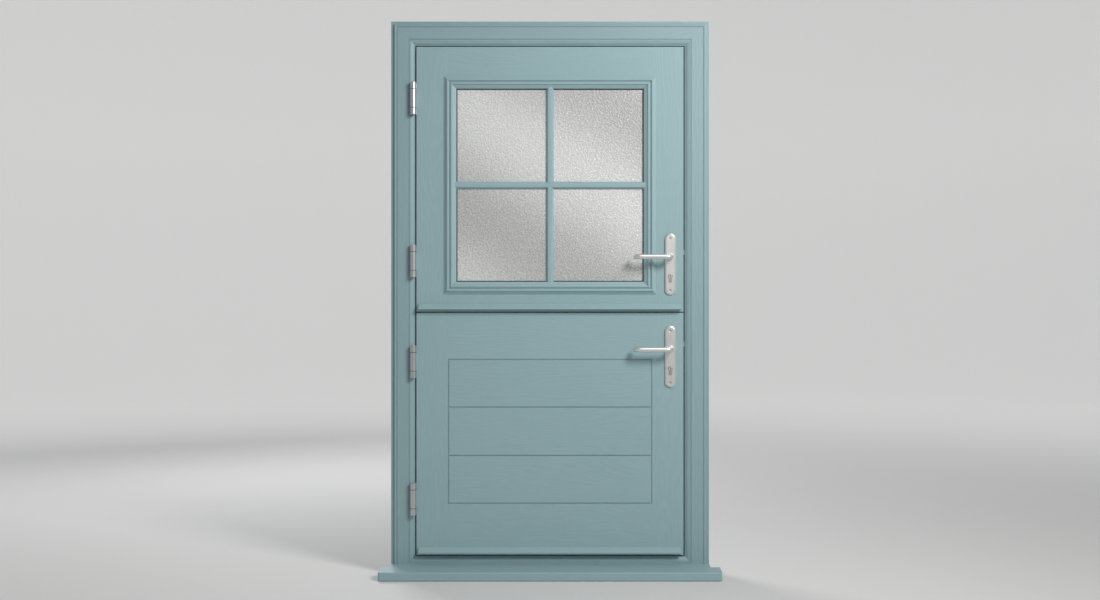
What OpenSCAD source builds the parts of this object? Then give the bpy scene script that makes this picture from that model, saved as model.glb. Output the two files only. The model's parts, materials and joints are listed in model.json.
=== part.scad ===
// Two-leaf stable door in its frame. Millimetres, +Z up, outside face towards -Y.
// The origin is on the cill's underside, midway between its ends, in the plane of the frame's front face.

/* [Opening] */
// Width between the jambs' rebates
rebate_w = 1012; // [850:2:1220]
// Height between the bottom rail's rebate and the head's rebate
rebate_h = 1917; // [1700:1:2310]
// Gap between a leaf's edge and the frame
leaf_gap = 5; // [3.5:0.5:7]
// Gap between the two leaves
meeting_gap = 4; // [3:0.5:8]

/* [Frame] */
// Width of the head and jambs, seen from the front
frame_face = 91; // [75:1:130]
// Depth of the frame from front to back
frame_depth = 70; // [68:1:110]
// Height of the bottom rail below the leaf
bottom_rail_h = 28; // [26:1:60]
// How far the stop stands into the opening
stop_proj = 18; // [15:1:30]
// Thickness of the stop
stop_t = 19; // [14:1:19]
// Width of the set-back step along the frame's outer edge
step_w = 12; // [4:1:14]
// Depth of that step, and of the ground that the mouldings stand on
step_d = 9; // [8:0.5:12]
// Width of the bead inside the step
bead_w = 10; // [6:1:12]
// Width of the groove beside the bead
bead_groove_w = 2.5; // [1.5:0.5:4]
// Width of the ovolo moulding along the rebate
ovolo_w = 18; // [12:1:19]
// Radius of the holes that fix the frame to the wall
fixing_r = 4; // [3:0.25:5]
// Distance of the outer fixing holes from the frame's ends
fixing_inset = 150; // [120:5:170]
// Distance of the inner fixing holes from the frame's ends
fixing_mid = 600; // [560:5:620]

/* [Cill] */
// Height of the cill under the frame
cill_h = 40; // [34:1:60]
// Height of the cill's nose
cill_nose_h = 33; // [26:1:33]
// How far the cill stands in front of the frame
cill_proj = 125; // [90:1:200]
// Length of the horn past each side of the frame
horn_w = 34; // [20:1:80]
// Depth of the horns from the nose back
horn_d = 78; // [50:1:85]

/* [Leaves] */
// Thickness of both leaves
leaf_t = 44; // [42:1:45]
// How far the leaves' outer face lies behind the frame's face
leaf_set_back = 3; // [2:0.5:4]
// Height of the lower leaf
lower_leaf_h = 909; // [800:1:1090]
// Width of the stiles
stile_w = 118; // [110:1:150]
// Height of the top rail
top_rail_h = 125; // [90:1:180]
// Height of the upper leaf's meeting rail
upper_meeting_h = 81; // [75:1:140]
// Height of the lower leaf's meeting rail
lower_meeting_h = 173; // [100:1:220]
// Height of the lower leaf's bottom rail
bottom_rail_leaf_h = 192; // [120:1:240]
// Length of the tenons
tenon_l = 35; // [20:1:36]
// Thickness of the tenons
tenon_t = 14; // [10:1:16]
// Thickness of the boards
board_t = 30; // [24:1:36]
// Width of the grooves round the boards
chase_w = 4.5; // [3:0.5:8]
// Depth of those grooves
chase_d = 3; // [2:0.5:5]
// Length of the boards' tongues
tongue_l = 10; // [6:1:12]

/* [Glazing] */
// Width of the glazing frame's section
cassette_w = 46; // [40:1:60]
// How far the glazing frame laps onto the leaf
cassette_lap = 14.5; // [8:0.5:18]
// Height of the glazing frame's crown above the leaf
cassette_h = 11; // [8:0.5:14]
// Width of a glazing bar at the glass
bar_w = 27; // [20:1:40]
// Width of a glazing bar's flat front
bar_flat_w = 15; // [8:1:18]
// Thickness of one pane
pane_t = 4; // [3:0.5:6]
// Space between the panes
pane_space = 16; // [12:1:18]

/* [Weather bars] */
// Height of a weather bar
weather_h = 21; // [16:1:30]
// How far a weather bar stands out from the leaf
weather_proj = 24; // [16:1:28]
// Height of a weather bar above the leaf's bottom edge
weather_up = 9; // [4:1:20]
// Distance of its ends from the leaf's edges
weather_inset = 8.5; // [6:0.5:20]

/* [Hinges] */
// Height of a hinge
hinge_h = 118; // [100:1:150]
// Outer radius of the knuckles
knuckle_r = 11; // [9:0.5:13]
// Radius of the hinge pin
pin_r = 5; // [4:0.5:6]
// Height of the end knuckles
end_knuckle_h = 24; // [18:1:32]
// Thickness of the hinge plates
hinge_plate_t = 3; // [2:0.5:3]
// Lower leaf's bottom hinge above the leaf's bottom edge
hinge_up_lower = 212; // [120:1:240]
// Lower leaf's top hinge below the leaf's top edge
hinge_down_lower = 183; // [120:1:240]
// Upper leaf's bottom hinge above the leaf's bottom edge
hinge_up_upper = 190; // [120:1:240]
// Upper leaf's top hinge below the leaf's top edge
hinge_down_upper = 195; // [120:1:240]

/* [Locks and handles] */
// Distance of the lever's axis from the leaf's edge
backset = 50; // [45:1:55]
// Middle of the upper handle plate above the upper leaf's bottom edge
upper_plate_up = 178.5; // [170:0.5:300]
// Middle of the lower handle plate below the lower leaf's top edge
lower_plate_down = 163.5; // [140:0.5:300]
// Length of a handle plate
plate_l = 230; // [215:1:260]
// Width of a handle plate
plate_w = 40; // [36:1:48]
// Thickness of a handle plate
plate_t = 8; // [6:0.5:10]
// Distance between the plate's two bolts
plate_bolt_pitch = 195; // [185:1:205]
// Distance from the lever's axis to the cylinder's axis
cylinder_drop = 72; // [72:1:92]
// Lever's axis above the middle of the plate
lever_up = 27; // [20:1:35]
// Reach of a lever from its axis to its tip
lever_reach = 142; // [120:1:160]
// Radius of the lever's bar
lever_r = 10; // [8:0.5:11]
// Height of the lever's bar above the leaf
lever_h = 50; // [44:1:60]
// Travel of the latch
latch_throw = 12; // [10:0.5:13]
// Travel of the deadbolt
deadbolt_throw = 20; // [14:1:20]
// Turn of the lever that draws the latch
lever_turn = 40; // [30:1:45]

/* [Hidden] */

paint = [0.53, 0.64, 0.655];
steel = [0.80, 0.80, 0.79];
zinc = [0.66, 0.66, 0.65];
rubber = [0.10, 0.11, 0.11];
frosted = [0.84, 0.87, 0.87, 0.75];
$fn = 48;

far = 3000;                                   // longer than any piece, for cutting tools
running = 0.05;                               // radial clearance of a turning fit
slip = 0.2;                                   // clearance of a sliding or let-in fit

// opening
rebate_x = rebate_w / 2;
rebate_bottom = cill_h + bottom_rail_h;
rebate_top = rebate_bottom + rebate_h;
frame_top = rebate_top + frame_face;
frame_x = rebate_x + frame_face;
stop_y = frame_depth - stop_t;                // front face of the stop
fixing_y = 27;                                // depth of the fixing holes behind the frame's face
fixing_head_r = 8;
fixing_head_l = 10;
fixing_z = [cill_h + fixing_inset, cill_h + fixing_mid, frame_top - fixing_mid, frame_top - fixing_inset];

// seals
seal_in = 4;                                  // seal's edge from the stop's edge
seal_w = 6;
seal_let_in = 3;
seal_x = rebate_x - stop_proj + seal_in + seal_w;
seal_z0 = rebate_bottom + stop_proj - seal_in - seal_w;
seal_z1 = rebate_top - stop_proj + seal_in + seal_w;
seal_gap = 0.3;                               // a seal's free face to the part that closes on it
meeting_seal_t = 8;
meeting_seal_let_in = 6;
let_in_fit = 0.1;

// leaves
leaf_x = rebate_x - leaf_gap;
leaf_front = leaf_set_back;
leaf_back = leaf_front + leaf_t;
leaf_mid = leaf_front + leaf_t / 2;
lower_z0 = rebate_bottom + leaf_gap;
lower_z1 = lower_z0 + lower_leaf_h;
upper_z0 = lower_z1 + meeting_gap;
upper_z1 = rebate_top - leaf_gap;
stile_x = leaf_x - stile_w;                   // inner edge of the stiles
tenon_shoulder = 20;                          // what a tenon's height loses at each end

// glazing
aperture_z0 = upper_z0 + upper_meeting_h;
aperture_z1 = upper_z1 - top_rail_h;
aperture_mid = (aperture_z0 + aperture_z1) / 2;
aperture_hh = (aperture_z1 - aperture_z0) / 2;
sight_in = cassette_w - cassette_lap;         // from the aperture's edge in to the sight line
sight_hw = stile_x - sight_in;
sight_hh = aperture_hh - sight_in;
glass_edge = 10;                              // how far the glass runs under the glazing frame
glass_front = leaf_mid - pane_space / 2 - pane_t;
frame_leg_gap = 0.5;                          // glazing frame's leg to the aperture

// boards
boards_z0 = lower_z0 + bottom_rail_leaf_h;
boards_z1 = lower_z1 - lower_meeting_h;
board_h = (boards_z1 - boards_z0) / 3;
board_gap = 0.4;                              // between neighbouring boards, behind the groove
tongue_t = 10;

// hinges
hinge_x = -leaf_x - knuckle_r;                // the knuckles' outer side is in line with the leaf's edge
hinge_y = -knuckle_r - 0.5;
hinge_depth = 40;                             // depth of the hinge plates in the gap
hinge_end = leaf_front + hinge_depth;         // back edge of the hinge plates
knuckle_gap = 0.25;
lower_hinges = [lower_z0 + hinge_up_lower, lower_z1 - hinge_down_lower];
upper_hinges = [upper_z0 + hinge_up_upper, upper_z1 - hinge_down_upper];
all_hinges = concat(lower_hinges, upper_hinges);
hinge_screw_z = [-42, 0, 42];
screw_r = 2;
screw_head_r = 4;
screw_l = 30;
screw_fit = 0.05;

// locks, in a frame at the lever's axis: +x to the leaf's edge, y from the leaf's middle, +z up
lock_x = leaf_x - backset;
upper_lever_z = upper_z0 + upper_plate_up + lever_up;
lower_lever_z = lower_z1 - lower_plate_down + lever_up;
forend_l = 235;
forend_w = 20;
forend_t = 3;
forend_screw_z = 108;
case_back = -28;
case_top = 46;
case_bottom = -cylinder_drop - 41;
case_t = 15;
case_wall = 1.5;
case_fit = 0.5;                               // lock case to its mortise, up and back
bolt_t = 11;
latch_z = [9, 27];
latch_tail_z = 14;
deadbolt_z = [19 - cylinder_drop, 39 - cylinder_drop];
follower_r = 10;
lug_r = 3;
lug_orbit = latch_throw / 2 / sin(lever_turn / 2);
spindle_w = 8;
spindle_fit = 0.1;
spindle_short = 22;                           // spindle's end below the lever's bar
journal_r = 8;
plug_r = 6.4;
euro_r = 8.5;
euro_w = 10;
euro_h = 24.5;
cam_r = 15.5;
cam_t = 10;
cylinder_past = 2;                            // how far the cylinder stands out of the plates
cylinder_l = leaf_t + 2 * plate_t + 2 * cylinder_past;
cam_gap = 0.3;
keyway_w = 1.8;
keyway_h = 8;
plate_bolt_r = 2.5;
plate_bolt_head_r = 5;
plate_bolt_head_h = 2.5;
strike_mid = -13;                             // middle of the strike plate below the lever's axis
strike_l = 150;
strike_w = 28;
strike_screw_z = 66;
strike_pocket = [16, 104];                    // depth along y and height of the bolts' pocket in the jamb
boss_h = 3;
boss_r = 13.5;

// ---------- helpers ----------

// A flat outline in x and z, given thickness along y
module slab(points, y0, y1) {
    translate([0, y1, 0]) rotate([90, 0, 0]) linear_extrude(y1 - y0) polygon(points);
}

// A block between two corners
module block(low, high) {
    translate(low) cube(high - low);
}

// A section in x and y (x is zero at the inner edge) run round a rectangle with mitred corners
module mitred_ring(hw, hh, inner, outer) {
    for (side = [[0, hw, hh], [-90, hh, hw], [180, hw, hh], [90, hh, hw]])
        rotate([0, side[0], 0]) intersection() {
            translate([side[1], 0, -side[2] - outer]) linear_extrude(2 * (side[2] + outer)) children();
            slab([[side[1] - inner, inner - side[2]], [side[1] + outer, -side[2] - outer],
                  [side[1] + outer, side[2] + outer], [side[1] - inner, side[2] - inner]], -far, far);
        }
}

// A square-edged ring in x and z
module plain_ring(x, z0, z1, w, y0, y1) {
    difference() {
        block([-x, y0, z0], [x, y1, z1]);
        block([w - x, y0 - 1, z0 + w], [x - w, y1 + 1, z1 - w]);
    }
}

// A countersunk screw driven towards +x, its head's face at the origin
module screw_body(grow) {
    rotate([0, 90, 0]) {
        cylinder(r1 = screw_head_r + grow, r2 = screw_r + grow, h = screw_head_r - screw_r);
        cylinder(r = screw_r + grow, h = screw_l + grow);
    }
}

module screw() {
    difference() {
        screw_body(0);
        rotate([0, 90, 0]) translate([0, 0, -1]) cylinder(r = 1.5, h = 2.2, $fn = 6);
    }
}

module screw_hole() {
    screw_body(screw_fit);
}

// ---------- frame ----------

// The frame's section: x is the distance out from the rebate, y the depth
module frame_section(face) {
    flat_x = ovolo_w + 6;
    bead_x = frame_face - step_w - bead_w;
    bead_r = bead_w / 2;
    curve_r = (ovolo_w * ovolo_w + (step_d - 2) * (step_d - 2)) / (2 * (step_d - 2));
    intersection() {
        translate([-stop_proj, 0]) square([face + stop_proj, frame_depth]);
        union() {
            translate([0, step_d]) square([face, frame_depth - step_d]);
            translate([flat_x, 0]) square([bead_x - bead_groove_w - flat_x, step_d + 1]);
            translate([flat_x - 3.5, 2.5]) square([4, step_d]);
            translate([bead_x - bead_groove_w - 0.5, 2.5]) square([bead_groove_w + 1, step_d]);
            translate([bead_x + bead_r, bead_r]) circle(r = bead_r);
            translate([bead_x, bead_r]) square([bead_w, step_d]);
            intersection() {
                translate([ovolo_w + 3, 1 + curve_r]) circle(r = curve_r, $fn = 96);
                translate([3, 0]) square([ovolo_w, step_d + 1]);
            }
            translate([-stop_proj, stop_y]) square([stop_proj + 1, stop_t]);
        }
    }
}

// Groove in the stops for the seal
module seal_groove() {
    plain_ring(seal_x, seal_z0, seal_z1, seal_w, stop_y - 1, stop_y + seal_let_in);
}

module jamb_blank() {
    difference() {
        intersection() {
            translate([rebate_x, 0, 0]) linear_extrude(frame_top) frame_section(frame_face);
            slab([[rebate_x - stop_proj, rebate_top - stop_proj], [frame_x, frame_top], [frame_x, cill_h],
                  [rebate_x + bottom_rail_h, cill_h], [rebate_x - stop_proj, rebate_bottom + stop_proj]],
                 -far, far);
        }
        seal_groove();
        for (z = fixing_z) translate([rebate_x, fixing_y, z]) rotate([0, 90, 0]) {
            translate([0, 0, -1]) cylinder(r = fixing_r, h = frame_face + 2);
            translate([0, 0, -1]) cylinder(r = fixing_head_r, h = fixing_head_l + 1);
        }
    }
}

module frame_head() {
    color(paint) difference() {
        intersection() {
            translate([frame_x, 0, rebate_top]) rotate([0, -90, 0]) linear_extrude(2 * frame_x)
                frame_section(frame_face);
            slab([[-frame_x, frame_top], [frame_x, frame_top], [rebate_x - stop_proj, rebate_top - stop_proj],
                  [stop_proj - rebate_x, rebate_top - stop_proj]], -far, far);
        }
        seal_groove();
    }
}

module frame_bottom_rail() {
    x = rebate_x + bottom_rail_h;
    color(paint) difference() {
        intersection() {
            translate([-x, 0, rebate_bottom]) rotate([0, 90, 0]) linear_extrude(2 * x)
                frame_section(bottom_rail_h);
            slab([[-x, cill_h], [x, cill_h], [rebate_x - stop_proj, rebate_bottom + stop_proj],
                  [stop_proj - rebate_x, rebate_bottom + stop_proj]], -far, far);
        }
        seal_groove();
    }
}

module frame_hinge_jamb() {
    color(paint) difference() {
        mirror([1, 0, 0]) jamb_blank();
        for (z = all_hinges) {
            block([-rebate_x - hinge_plate_t, -1, z - hinge_h / 2 - slip],
                  [1 - rebate_x, hinge_end + slip, z + hinge_h / 2 + slip]);
            for (dz = hinge_screw_z) translate([-rebate_x, leaf_mid, z + dz]) mirror([1, 0, 0]) screw_hole();
        }
    }
}

module frame_lock_jamb() {
    color(paint) difference() {
        jamb_blank();
        for (z = [upper_lever_z, lower_lever_z]) translate([0, leaf_mid, z + strike_mid]) {
            block([rebate_x - 1, -strike_w / 2 - slip, -strike_l / 2 - slip],
                  [rebate_x + forend_t, strike_w / 2 + slip, strike_l / 2 + slip]);
            block([rebate_x, -strike_pocket[0] / 2, -strike_pocket[1] / 2],
                  [rebate_x + deadbolt_throw, strike_pocket[0] / 2, strike_pocket[1] / 2]);
            for (s = [-1, 1]) translate([rebate_x, 0, s * strike_screw_z]) screw_hole();
        }
    }
}

// The cill's section, in y and z: a falling top, a round-edged nose and a drip groove under it
module cill_section() {
    nose_r = 5;
    drip_in = 18;
    drip_r = 4;
    difference() {
        union() {
            polygon([[-cill_proj, nose_r], [nose_r - cill_proj, 0], [frame_depth, 0], [frame_depth, cill_h],
                     [-1, cill_h], [nose_r - cill_proj, cill_nose_h], [-cill_proj, cill_nose_h - nose_r]]);
            for (z = [nose_r, cill_nose_h - nose_r]) translate([nose_r - cill_proj, z]) circle(r = nose_r);
        }
        translate([drip_in - cill_proj, 0]) circle(r = drip_r);
    }
}

module cill() {
    nose_x = frame_x + horn_w;
    end_cut = 7;
    horn_y = horn_d - cill_proj;
    color(paint) intersection() {
        translate([-nose_x, 0, 0]) rotate([90, 0, 90]) linear_extrude(2 * nose_x) cill_section();
        linear_extrude(cill_h + 1) polygon([
            [-nose_x + end_cut, -cill_proj], [nose_x - end_cut, -cill_proj], [nose_x, end_cut - cill_proj],
            [nose_x, horn_y], [frame_x, horn_y], [frame_x, frame_depth], [-frame_x, frame_depth],
            [-frame_x, horn_y], [-nose_x, horn_y], [-nose_x, end_cut - cill_proj]]);
    }
}

module frame_seal() {
    color(rubber) plain_ring(seal_x - let_in_fit, seal_z0 + let_in_fit, seal_z1 - let_in_fit,
                             seal_w - 2 * let_in_fit, leaf_back + seal_gap, stop_y + seal_let_in);
}

module strike_plate() {
    hole = bolt_t / 2 + 1.5;
    difference() {
        block([0, -strike_w / 2, strike_mid - strike_l / 2],
              [forend_t, strike_w / 2, strike_mid + strike_l / 2]);
        for (z = [latch_z, deadbolt_z])
            block([-1, -hole, z[0] - 1], [forend_t + 1, hole, z[1] + 1]);
        for (s = [-1, 1]) translate([0, 0, strike_mid + s * strike_screw_z]) screw_hole();
    }
}

module strike_plates() {
    color(steel) for (z = [upper_lever_z, lower_lever_z]) translate([rebate_x, leaf_mid, z]) strike_plate();
}

// ---------- hinges ----------

module frame_hinge_plate() {
    knuckle_z = hinge_h / 2 - end_knuckle_h;
    difference() {
        union() {
            for (s = [0, 1]) mirror([0, 0, s]) {
                translate([hinge_x, hinge_y, knuckle_z]) cylinder(r = knuckle_r, h = end_knuckle_h);
                block([-rebate_x - hinge_plate_t, hinge_y + pin_r + 1.5, knuckle_z],
                      [-rebate_x, leaf_front + 1, hinge_h / 2]);
            }
            block([-rebate_x - hinge_plate_t, leaf_front, -hinge_h / 2], [-rebate_x, hinge_end, hinge_h / 2]);
        }
        translate([hinge_x, hinge_y, -hinge_h]) cylinder(r = pin_r + running, h = 2 * hinge_h);
        for (dz = hinge_screw_z) translate([-rebate_x, leaf_mid, dz]) mirror([1, 0, 0]) screw_hole();
    }
}

module leaf_hinge_plate() {
    half = hinge_h / 2 - end_knuckle_h - knuckle_gap;
    difference() {
        union() {
            translate([hinge_x, hinge_y, -half]) cylinder(r = knuckle_r, h = 2 * half);
            block([-leaf_x - hinge_plate_t, hinge_y, -half], [-leaf_x, leaf_front + 1, half]);
            block([-leaf_x - hinge_plate_t, leaf_front, -hinge_h / 2], [-leaf_x, hinge_end, hinge_h / 2]);
        }
        translate([hinge_x, hinge_y, -hinge_h]) cylinder(r = pin_r + running, h = 2 * hinge_h);
        for (dz = hinge_screw_z) translate([-leaf_x - hinge_plate_t, leaf_mid, dz]) screw_hole();
    }
}

module frame_hinge_plates() {
    color(steel) for (z = all_hinges) translate([0, 0, z]) frame_hinge_plate();
}

module upper_hinge_plates() {
    color(steel) for (z = upper_hinges) translate([0, 0, z]) leaf_hinge_plate();
}

module lower_hinge_plates() {
    color(steel) for (z = lower_hinges) translate([0, 0, z]) leaf_hinge_plate();
}

module hinge_pins() {
    cap_h = 2;
    color(steel) for (z = all_hinges) translate([hinge_x, hinge_y, z]) {
        translate([0, 0, -hinge_h / 2]) cylinder(r = pin_r, h = hinge_h);
        for (s = [0, 1]) mirror([0, 0, s]) translate([0, 0, hinge_h / 2])
            cylinder(r = knuckle_r - 1, h = cap_h);
    }
}

module frame_screws() {
    color(steel) {
        for (z = all_hinges, dz = hinge_screw_z)
            translate([-rebate_x, leaf_mid, z + dz]) mirror([1, 0, 0]) screw();
        for (z = [upper_lever_z, lower_lever_z], s = [-1, 1])
            translate([rebate_x, leaf_mid, z + strike_mid + s * strike_screw_z]) screw();
    }
}

// Hinge and forend screws of one leaf
module leaf_screws(hinges, lever_z) {
    color(steel) {
        for (z = hinges, dz = hinge_screw_z) translate([-leaf_x - hinge_plate_t, leaf_mid, z + dz]) screw();
        for (s = [-1, 1]) translate([leaf_x, leaf_mid, lever_z - lever_up + s * forend_screw_z])
            mirror([1, 0, 0]) screw();
    }
}

module upper_leaf_screws() { leaf_screws(upper_hinges, upper_lever_z); }
module lower_leaf_screws() { leaf_screws(lower_hinges, lower_lever_z); }

// ---------- leaf joinery ----------

// A rail between the stiles, with a tenon at each end
module rail(z0, z1) {
    block([-stile_x, leaf_front, z0], [stile_x, leaf_back, z1]);
    block([-stile_x - tenon_l, leaf_mid - tenon_t / 2, z0 + tenon_shoulder],
          [stile_x + tenon_l, leaf_mid + tenon_t / 2, z1 - tenon_shoulder]);
}

// The mortises that such a rail needs in both stiles
module rail_mortises(z0, z1) {
    block([-stile_x - tenon_l - slip, leaf_mid - tenon_t / 2 - slip, z0 + tenon_shoulder - slip],
          [stile_x + tenon_l + slip, leaf_mid + tenon_t / 2 + slip, z1 - tenon_shoulder + slip]);
}

module stile(side, z0, z1) {
    block([side > 0 ? stile_x : -leaf_x, leaf_front, z0], [side > 0 ? leaf_x : -stile_x, leaf_back, z1]);
}

module hinge_screw_holes(hinges) {
    for (z = hinges, dz = hinge_screw_z) translate([-leaf_x - hinge_plate_t, leaf_mid, z + dz]) screw_hole();
}

// Everything cut out of a lock stile for its lock and handles
module lock_cuts(lever_z) {
    translate([lock_x, leaf_mid, lever_z]) {
        block([case_back - case_fit, -case_t / 2 - slip, case_bottom - case_fit],
              [backset - forend_t + 0.1, case_t / 2 + slip, case_top + case_fit]);
        block([backset - forend_t, -forend_w / 2 - slip, -lever_up - forend_l / 2 - slip],
              [backset + 1, forend_w / 2 + slip, forend_l / 2 - lever_up + slip]);
        rotate([90, 0, 0]) {
            translate([0, 0, -leaf_t]) cylinder(r = follower_r + 1, h = 2 * leaf_t);
            translate([0, -cylinder_drop, -leaf_t]) linear_extrude(2 * leaf_t) euro_outline(1);
            for (s = [-1, 1]) translate([0, s * plate_bolt_pitch / 2 - lever_up, -leaf_t])
                cylinder(r = plate_bolt_r + 0.5, h = 2 * leaf_t);
        }
        for (s = [-1, 1]) translate([backset, 0, s * forend_screw_z - lever_up]) mirror([1, 0, 0])
            screw_hole();
    }
}

// Groove in the stiles and the meeting rail for the boards' tongues
module board_grooves() {
    block([-stile_x - tongue_l - slip, leaf_mid - tongue_t / 2 - slip, boards_z0],
          [stile_x + tongue_l + slip, leaf_mid + tongue_t / 2 + slip, boards_z1]);
}

module upper_hinge_stile() {
    color(paint) difference() {
        stile(-1, upper_z0, upper_z1);
        rail_mortises(aperture_z1, upper_z1);
        rail_mortises(upper_z0, aperture_z0);
        hinge_screw_holes(upper_hinges);
        meeting_seal_groove();
    }
}

module upper_lock_stile() {
    color(paint) difference() {
        stile(1, upper_z0, upper_z1);
        rail_mortises(aperture_z1, upper_z1);
        rail_mortises(upper_z0, aperture_z0);
        lock_cuts(upper_lever_z);
        meeting_seal_groove();
    }
}

module upper_top_rail() {
    color(paint) rail(aperture_z1, upper_z1);
}

module upper_meeting_rail() {
    color(paint) difference() {
        rail(upper_z0, aperture_z0);
        meeting_seal_groove();
    }
}

module lower_hinge_stile() {
    color(paint) difference() {
        stile(-1, lower_z0, lower_z1);
        rail_mortises(boards_z1, lower_z1);
        rail_mortises(lower_z0, boards_z0);
        board_grooves();
        hinge_screw_holes(lower_hinges);
    }
}

module lower_lock_stile() {
    color(paint) difference() {
        stile(1, lower_z0, lower_z1);
        rail_mortises(boards_z1, lower_z1);
        rail_mortises(lower_z0, boards_z0);
        board_grooves();
        lock_cuts(lower_lever_z);
    }
}

module lower_meeting_rail() {
    color(paint) difference() {
        rail(boards_z1, lower_z1);
        block([-stile_x - 1, leaf_mid - tongue_t / 2 - slip, boards_z1 - 1],
              [stile_x + 1, leaf_mid + tongue_t / 2 + slip, boards_z1 + tongue_l + slip]);
    }
}

module lower_bottom_rail() {
    color(paint) {
        rail(lower_z0, boards_z0);
        block([-stile_x, leaf_mid - tongue_t / 2, boards_z0 - 1],
              [stile_x, leaf_mid + tongue_t / 2, boards_z0 + tongue_l]);
    }
}

// A board with a tongue on its top and both ends and a groove along its bottom; 0 is the lowest
module board(i) {
    z0 = boards_z0 + i * board_h + board_gap / 2;
    z1 = boards_z0 + (i + 1) * board_h - board_gap / 2;
    low_cut = i == 0 ? chase_w : chase_w / 2;
    high_cut = i == 2 ? chase_w : chase_w / 2;
    color(paint) difference() {
        union() {
            block([chase_w - stile_x, leaf_front, z0 + low_cut],
                  [stile_x - chase_w, leaf_front + chase_d + 1, z1 - high_cut]);
            block([0.1 - stile_x, leaf_front + chase_d, z0], [stile_x - 0.1, leaf_front + board_t, z1]);
            block([-stile_x - tongue_l, leaf_mid - tongue_t / 2, z0],
                  [stile_x + tongue_l, leaf_mid + tongue_t / 2, z1]);
            block([slip - stile_x, leaf_mid - tongue_t / 2, z1 - 1],
                  [stile_x - slip, leaf_mid + tongue_t / 2, z1 + tongue_l - board_gap]);
        }
        block([-leaf_x, leaf_mid - tongue_t / 2 - slip, z0 - 1],
              [leaf_x, leaf_mid + tongue_t / 2 + slip, z0 + tongue_l + slip]);
    }
}

module lower_top_board() { board(2); }
module lower_middle_board() { board(1); }
module lower_bottom_board() { board(0); }

// ---------- weather bars and meeting seal ----------

module weather_bar(z) {
    back = 6;                                 // height of the upright edge against the leaf
    lip = 7;                                  // height of the nose
    x = leaf_x - weather_inset;
    color(paint) translate([-x, leaf_front, z + weather_up]) rotate([90, 0, 90])
        linear_extrude(2 * x) difference() {
            polygon([[0, 0], [-weather_proj, 0], [-weather_proj, lip - 2], [2 - weather_proj, lip],
                     [-4, weather_h - 1], [-3, weather_h], [0, weather_h]]);
            translate([6 - weather_proj, 0]) circle(r = 2);
        }
}

module upper_weather_bar() { weather_bar(upper_z0); }
module lower_weather_bar() { weather_bar(lower_z0); }

module meeting_seal_groove() {
    half = meeting_seal_t / 2 + let_in_fit;
    block([-leaf_x - 1, leaf_mid - half, upper_z0 - 1],
          [leaf_x + 1, leaf_mid + half, upper_z0 + meeting_seal_let_in]);
}

module meeting_seal() {
    color(rubber) block([-leaf_x, leaf_mid - meeting_seal_t / 2, lower_z1 + seal_gap],
                        [leaf_x, leaf_mid + meeting_seal_t / 2, upper_z0 + meeting_seal_let_in]);
}

// ---------- glazing ----------

// Section of the outer glazing frame: x is zero at the sight line, y is zero on the leaf's outer face
module cassette_section() {
    seat = glass_front - leaf_front;          // depth of the glass behind the leaf's face
    crown_x = cassette_w - 13.5;
    crown_r = 5.5;
    inner_r = 5.5;
    inner_x = 18.5;
    union() {
        polygon([[0, 2], [13, -5], [24, -5], [crown_x - crown_r, -cassette_h + crown_r],
                 [crown_x + crown_r, -cassette_h + crown_r], [cassette_w, -2], [cassette_w, 0],
                 [sight_in - frame_leg_gap, 0], [sight_in - frame_leg_gap, leaf_t / 2 - slip],
                 [glass_edge + 1.5, leaf_t / 2 - slip], [glass_edge + 1.5, seat], [0, seat]]);
        translate([crown_x, -cassette_h + crown_r]) circle(r = crown_r);
        translate([inner_x, -cassette_h + crown_r + 1.5]) circle(r = inner_r);
    }
}

module glazing_frame() {
    translate([0, leaf_front, aperture_mid]) mitred_ring(sight_hw, sight_hh, 1, cassette_w + 1)
        cassette_section();
}

// Crossed bars: each is a chamfered section whose ends follow the glazing frame's inner bevel
module glazing_bars_blank() {
    front = -1.5;                             // height of the bars' face above the leaf
    seat = glass_front - leaf_front;
    chamfer = (bar_w - bar_flat_w) / 2;
    over = (2 - front) * 13 / 7;
    translate([0, leaf_front, aperture_mid])
        for (turn = [[0, sight_hw], [90, sight_hh]]) rotate([0, turn[0], 0]) intersection() {
            slab([[-far, -bar_w / 2], [far, -bar_w / 2], [far, bar_w / 2], [-far, bar_w / 2]], -far, far);
            translate([-far, 0, 0]) rotate([90, 0, 90]) linear_extrude(2 * far) polygon([
                [seat, -bar_w / 2], [seat - 4, -bar_w / 2], [front, -bar_flat_w / 2], [front, bar_flat_w / 2],
                [seat - 4, bar_w / 2], [seat, bar_w / 2]]);
            translate([0, 0, -bar_w]) linear_extrude(2 * bar_w) polygon([
                [-turn[1] + 0.1, seat], [-turn[1] + 0.1, 2], [-turn[1] - over + 0.2, front],
                [turn[1] + over - 0.2, front], [turn[1] - 0.1, 2], [turn[1] - 0.1, seat]]);
        }
}

// Turns an outside piece into its twin on the inside of the leaf
module inside_out() {
    translate([0, 2 * leaf_mid, 0]) mirror([0, 1, 0]) children();
}

module outer_glazing_frame() { color(paint) glazing_frame(); }
module inner_glazing_frame() { color(paint) inside_out() glazing_frame(); }
module outer_glazing_bars() { color(paint) glazing_bars_blank(); }
module inner_glazing_bars() { color(paint) inside_out() glazing_bars_blank(); }

module pane() {
    x = sight_hw + glass_edge;
    z = sight_hh + glass_edge;
    color(frosted) block([-x, glass_front, aperture_mid - z], [x, glass_front + pane_t, aperture_mid + z]);
}

module outer_pane() { pane(); }
module inner_pane() { inside_out() pane(); }

module spacer_bar() {
    z = sight_hh + glass_edge - 1;
    color(steel) plain_ring(sight_hw + glass_edge - 1, aperture_mid - z, aperture_mid + z, 7,
                            glass_front + pane_t, glass_front + pane_t + pane_space);
}

// ---------- locks, in the frame of the lever's axis ----------

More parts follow.
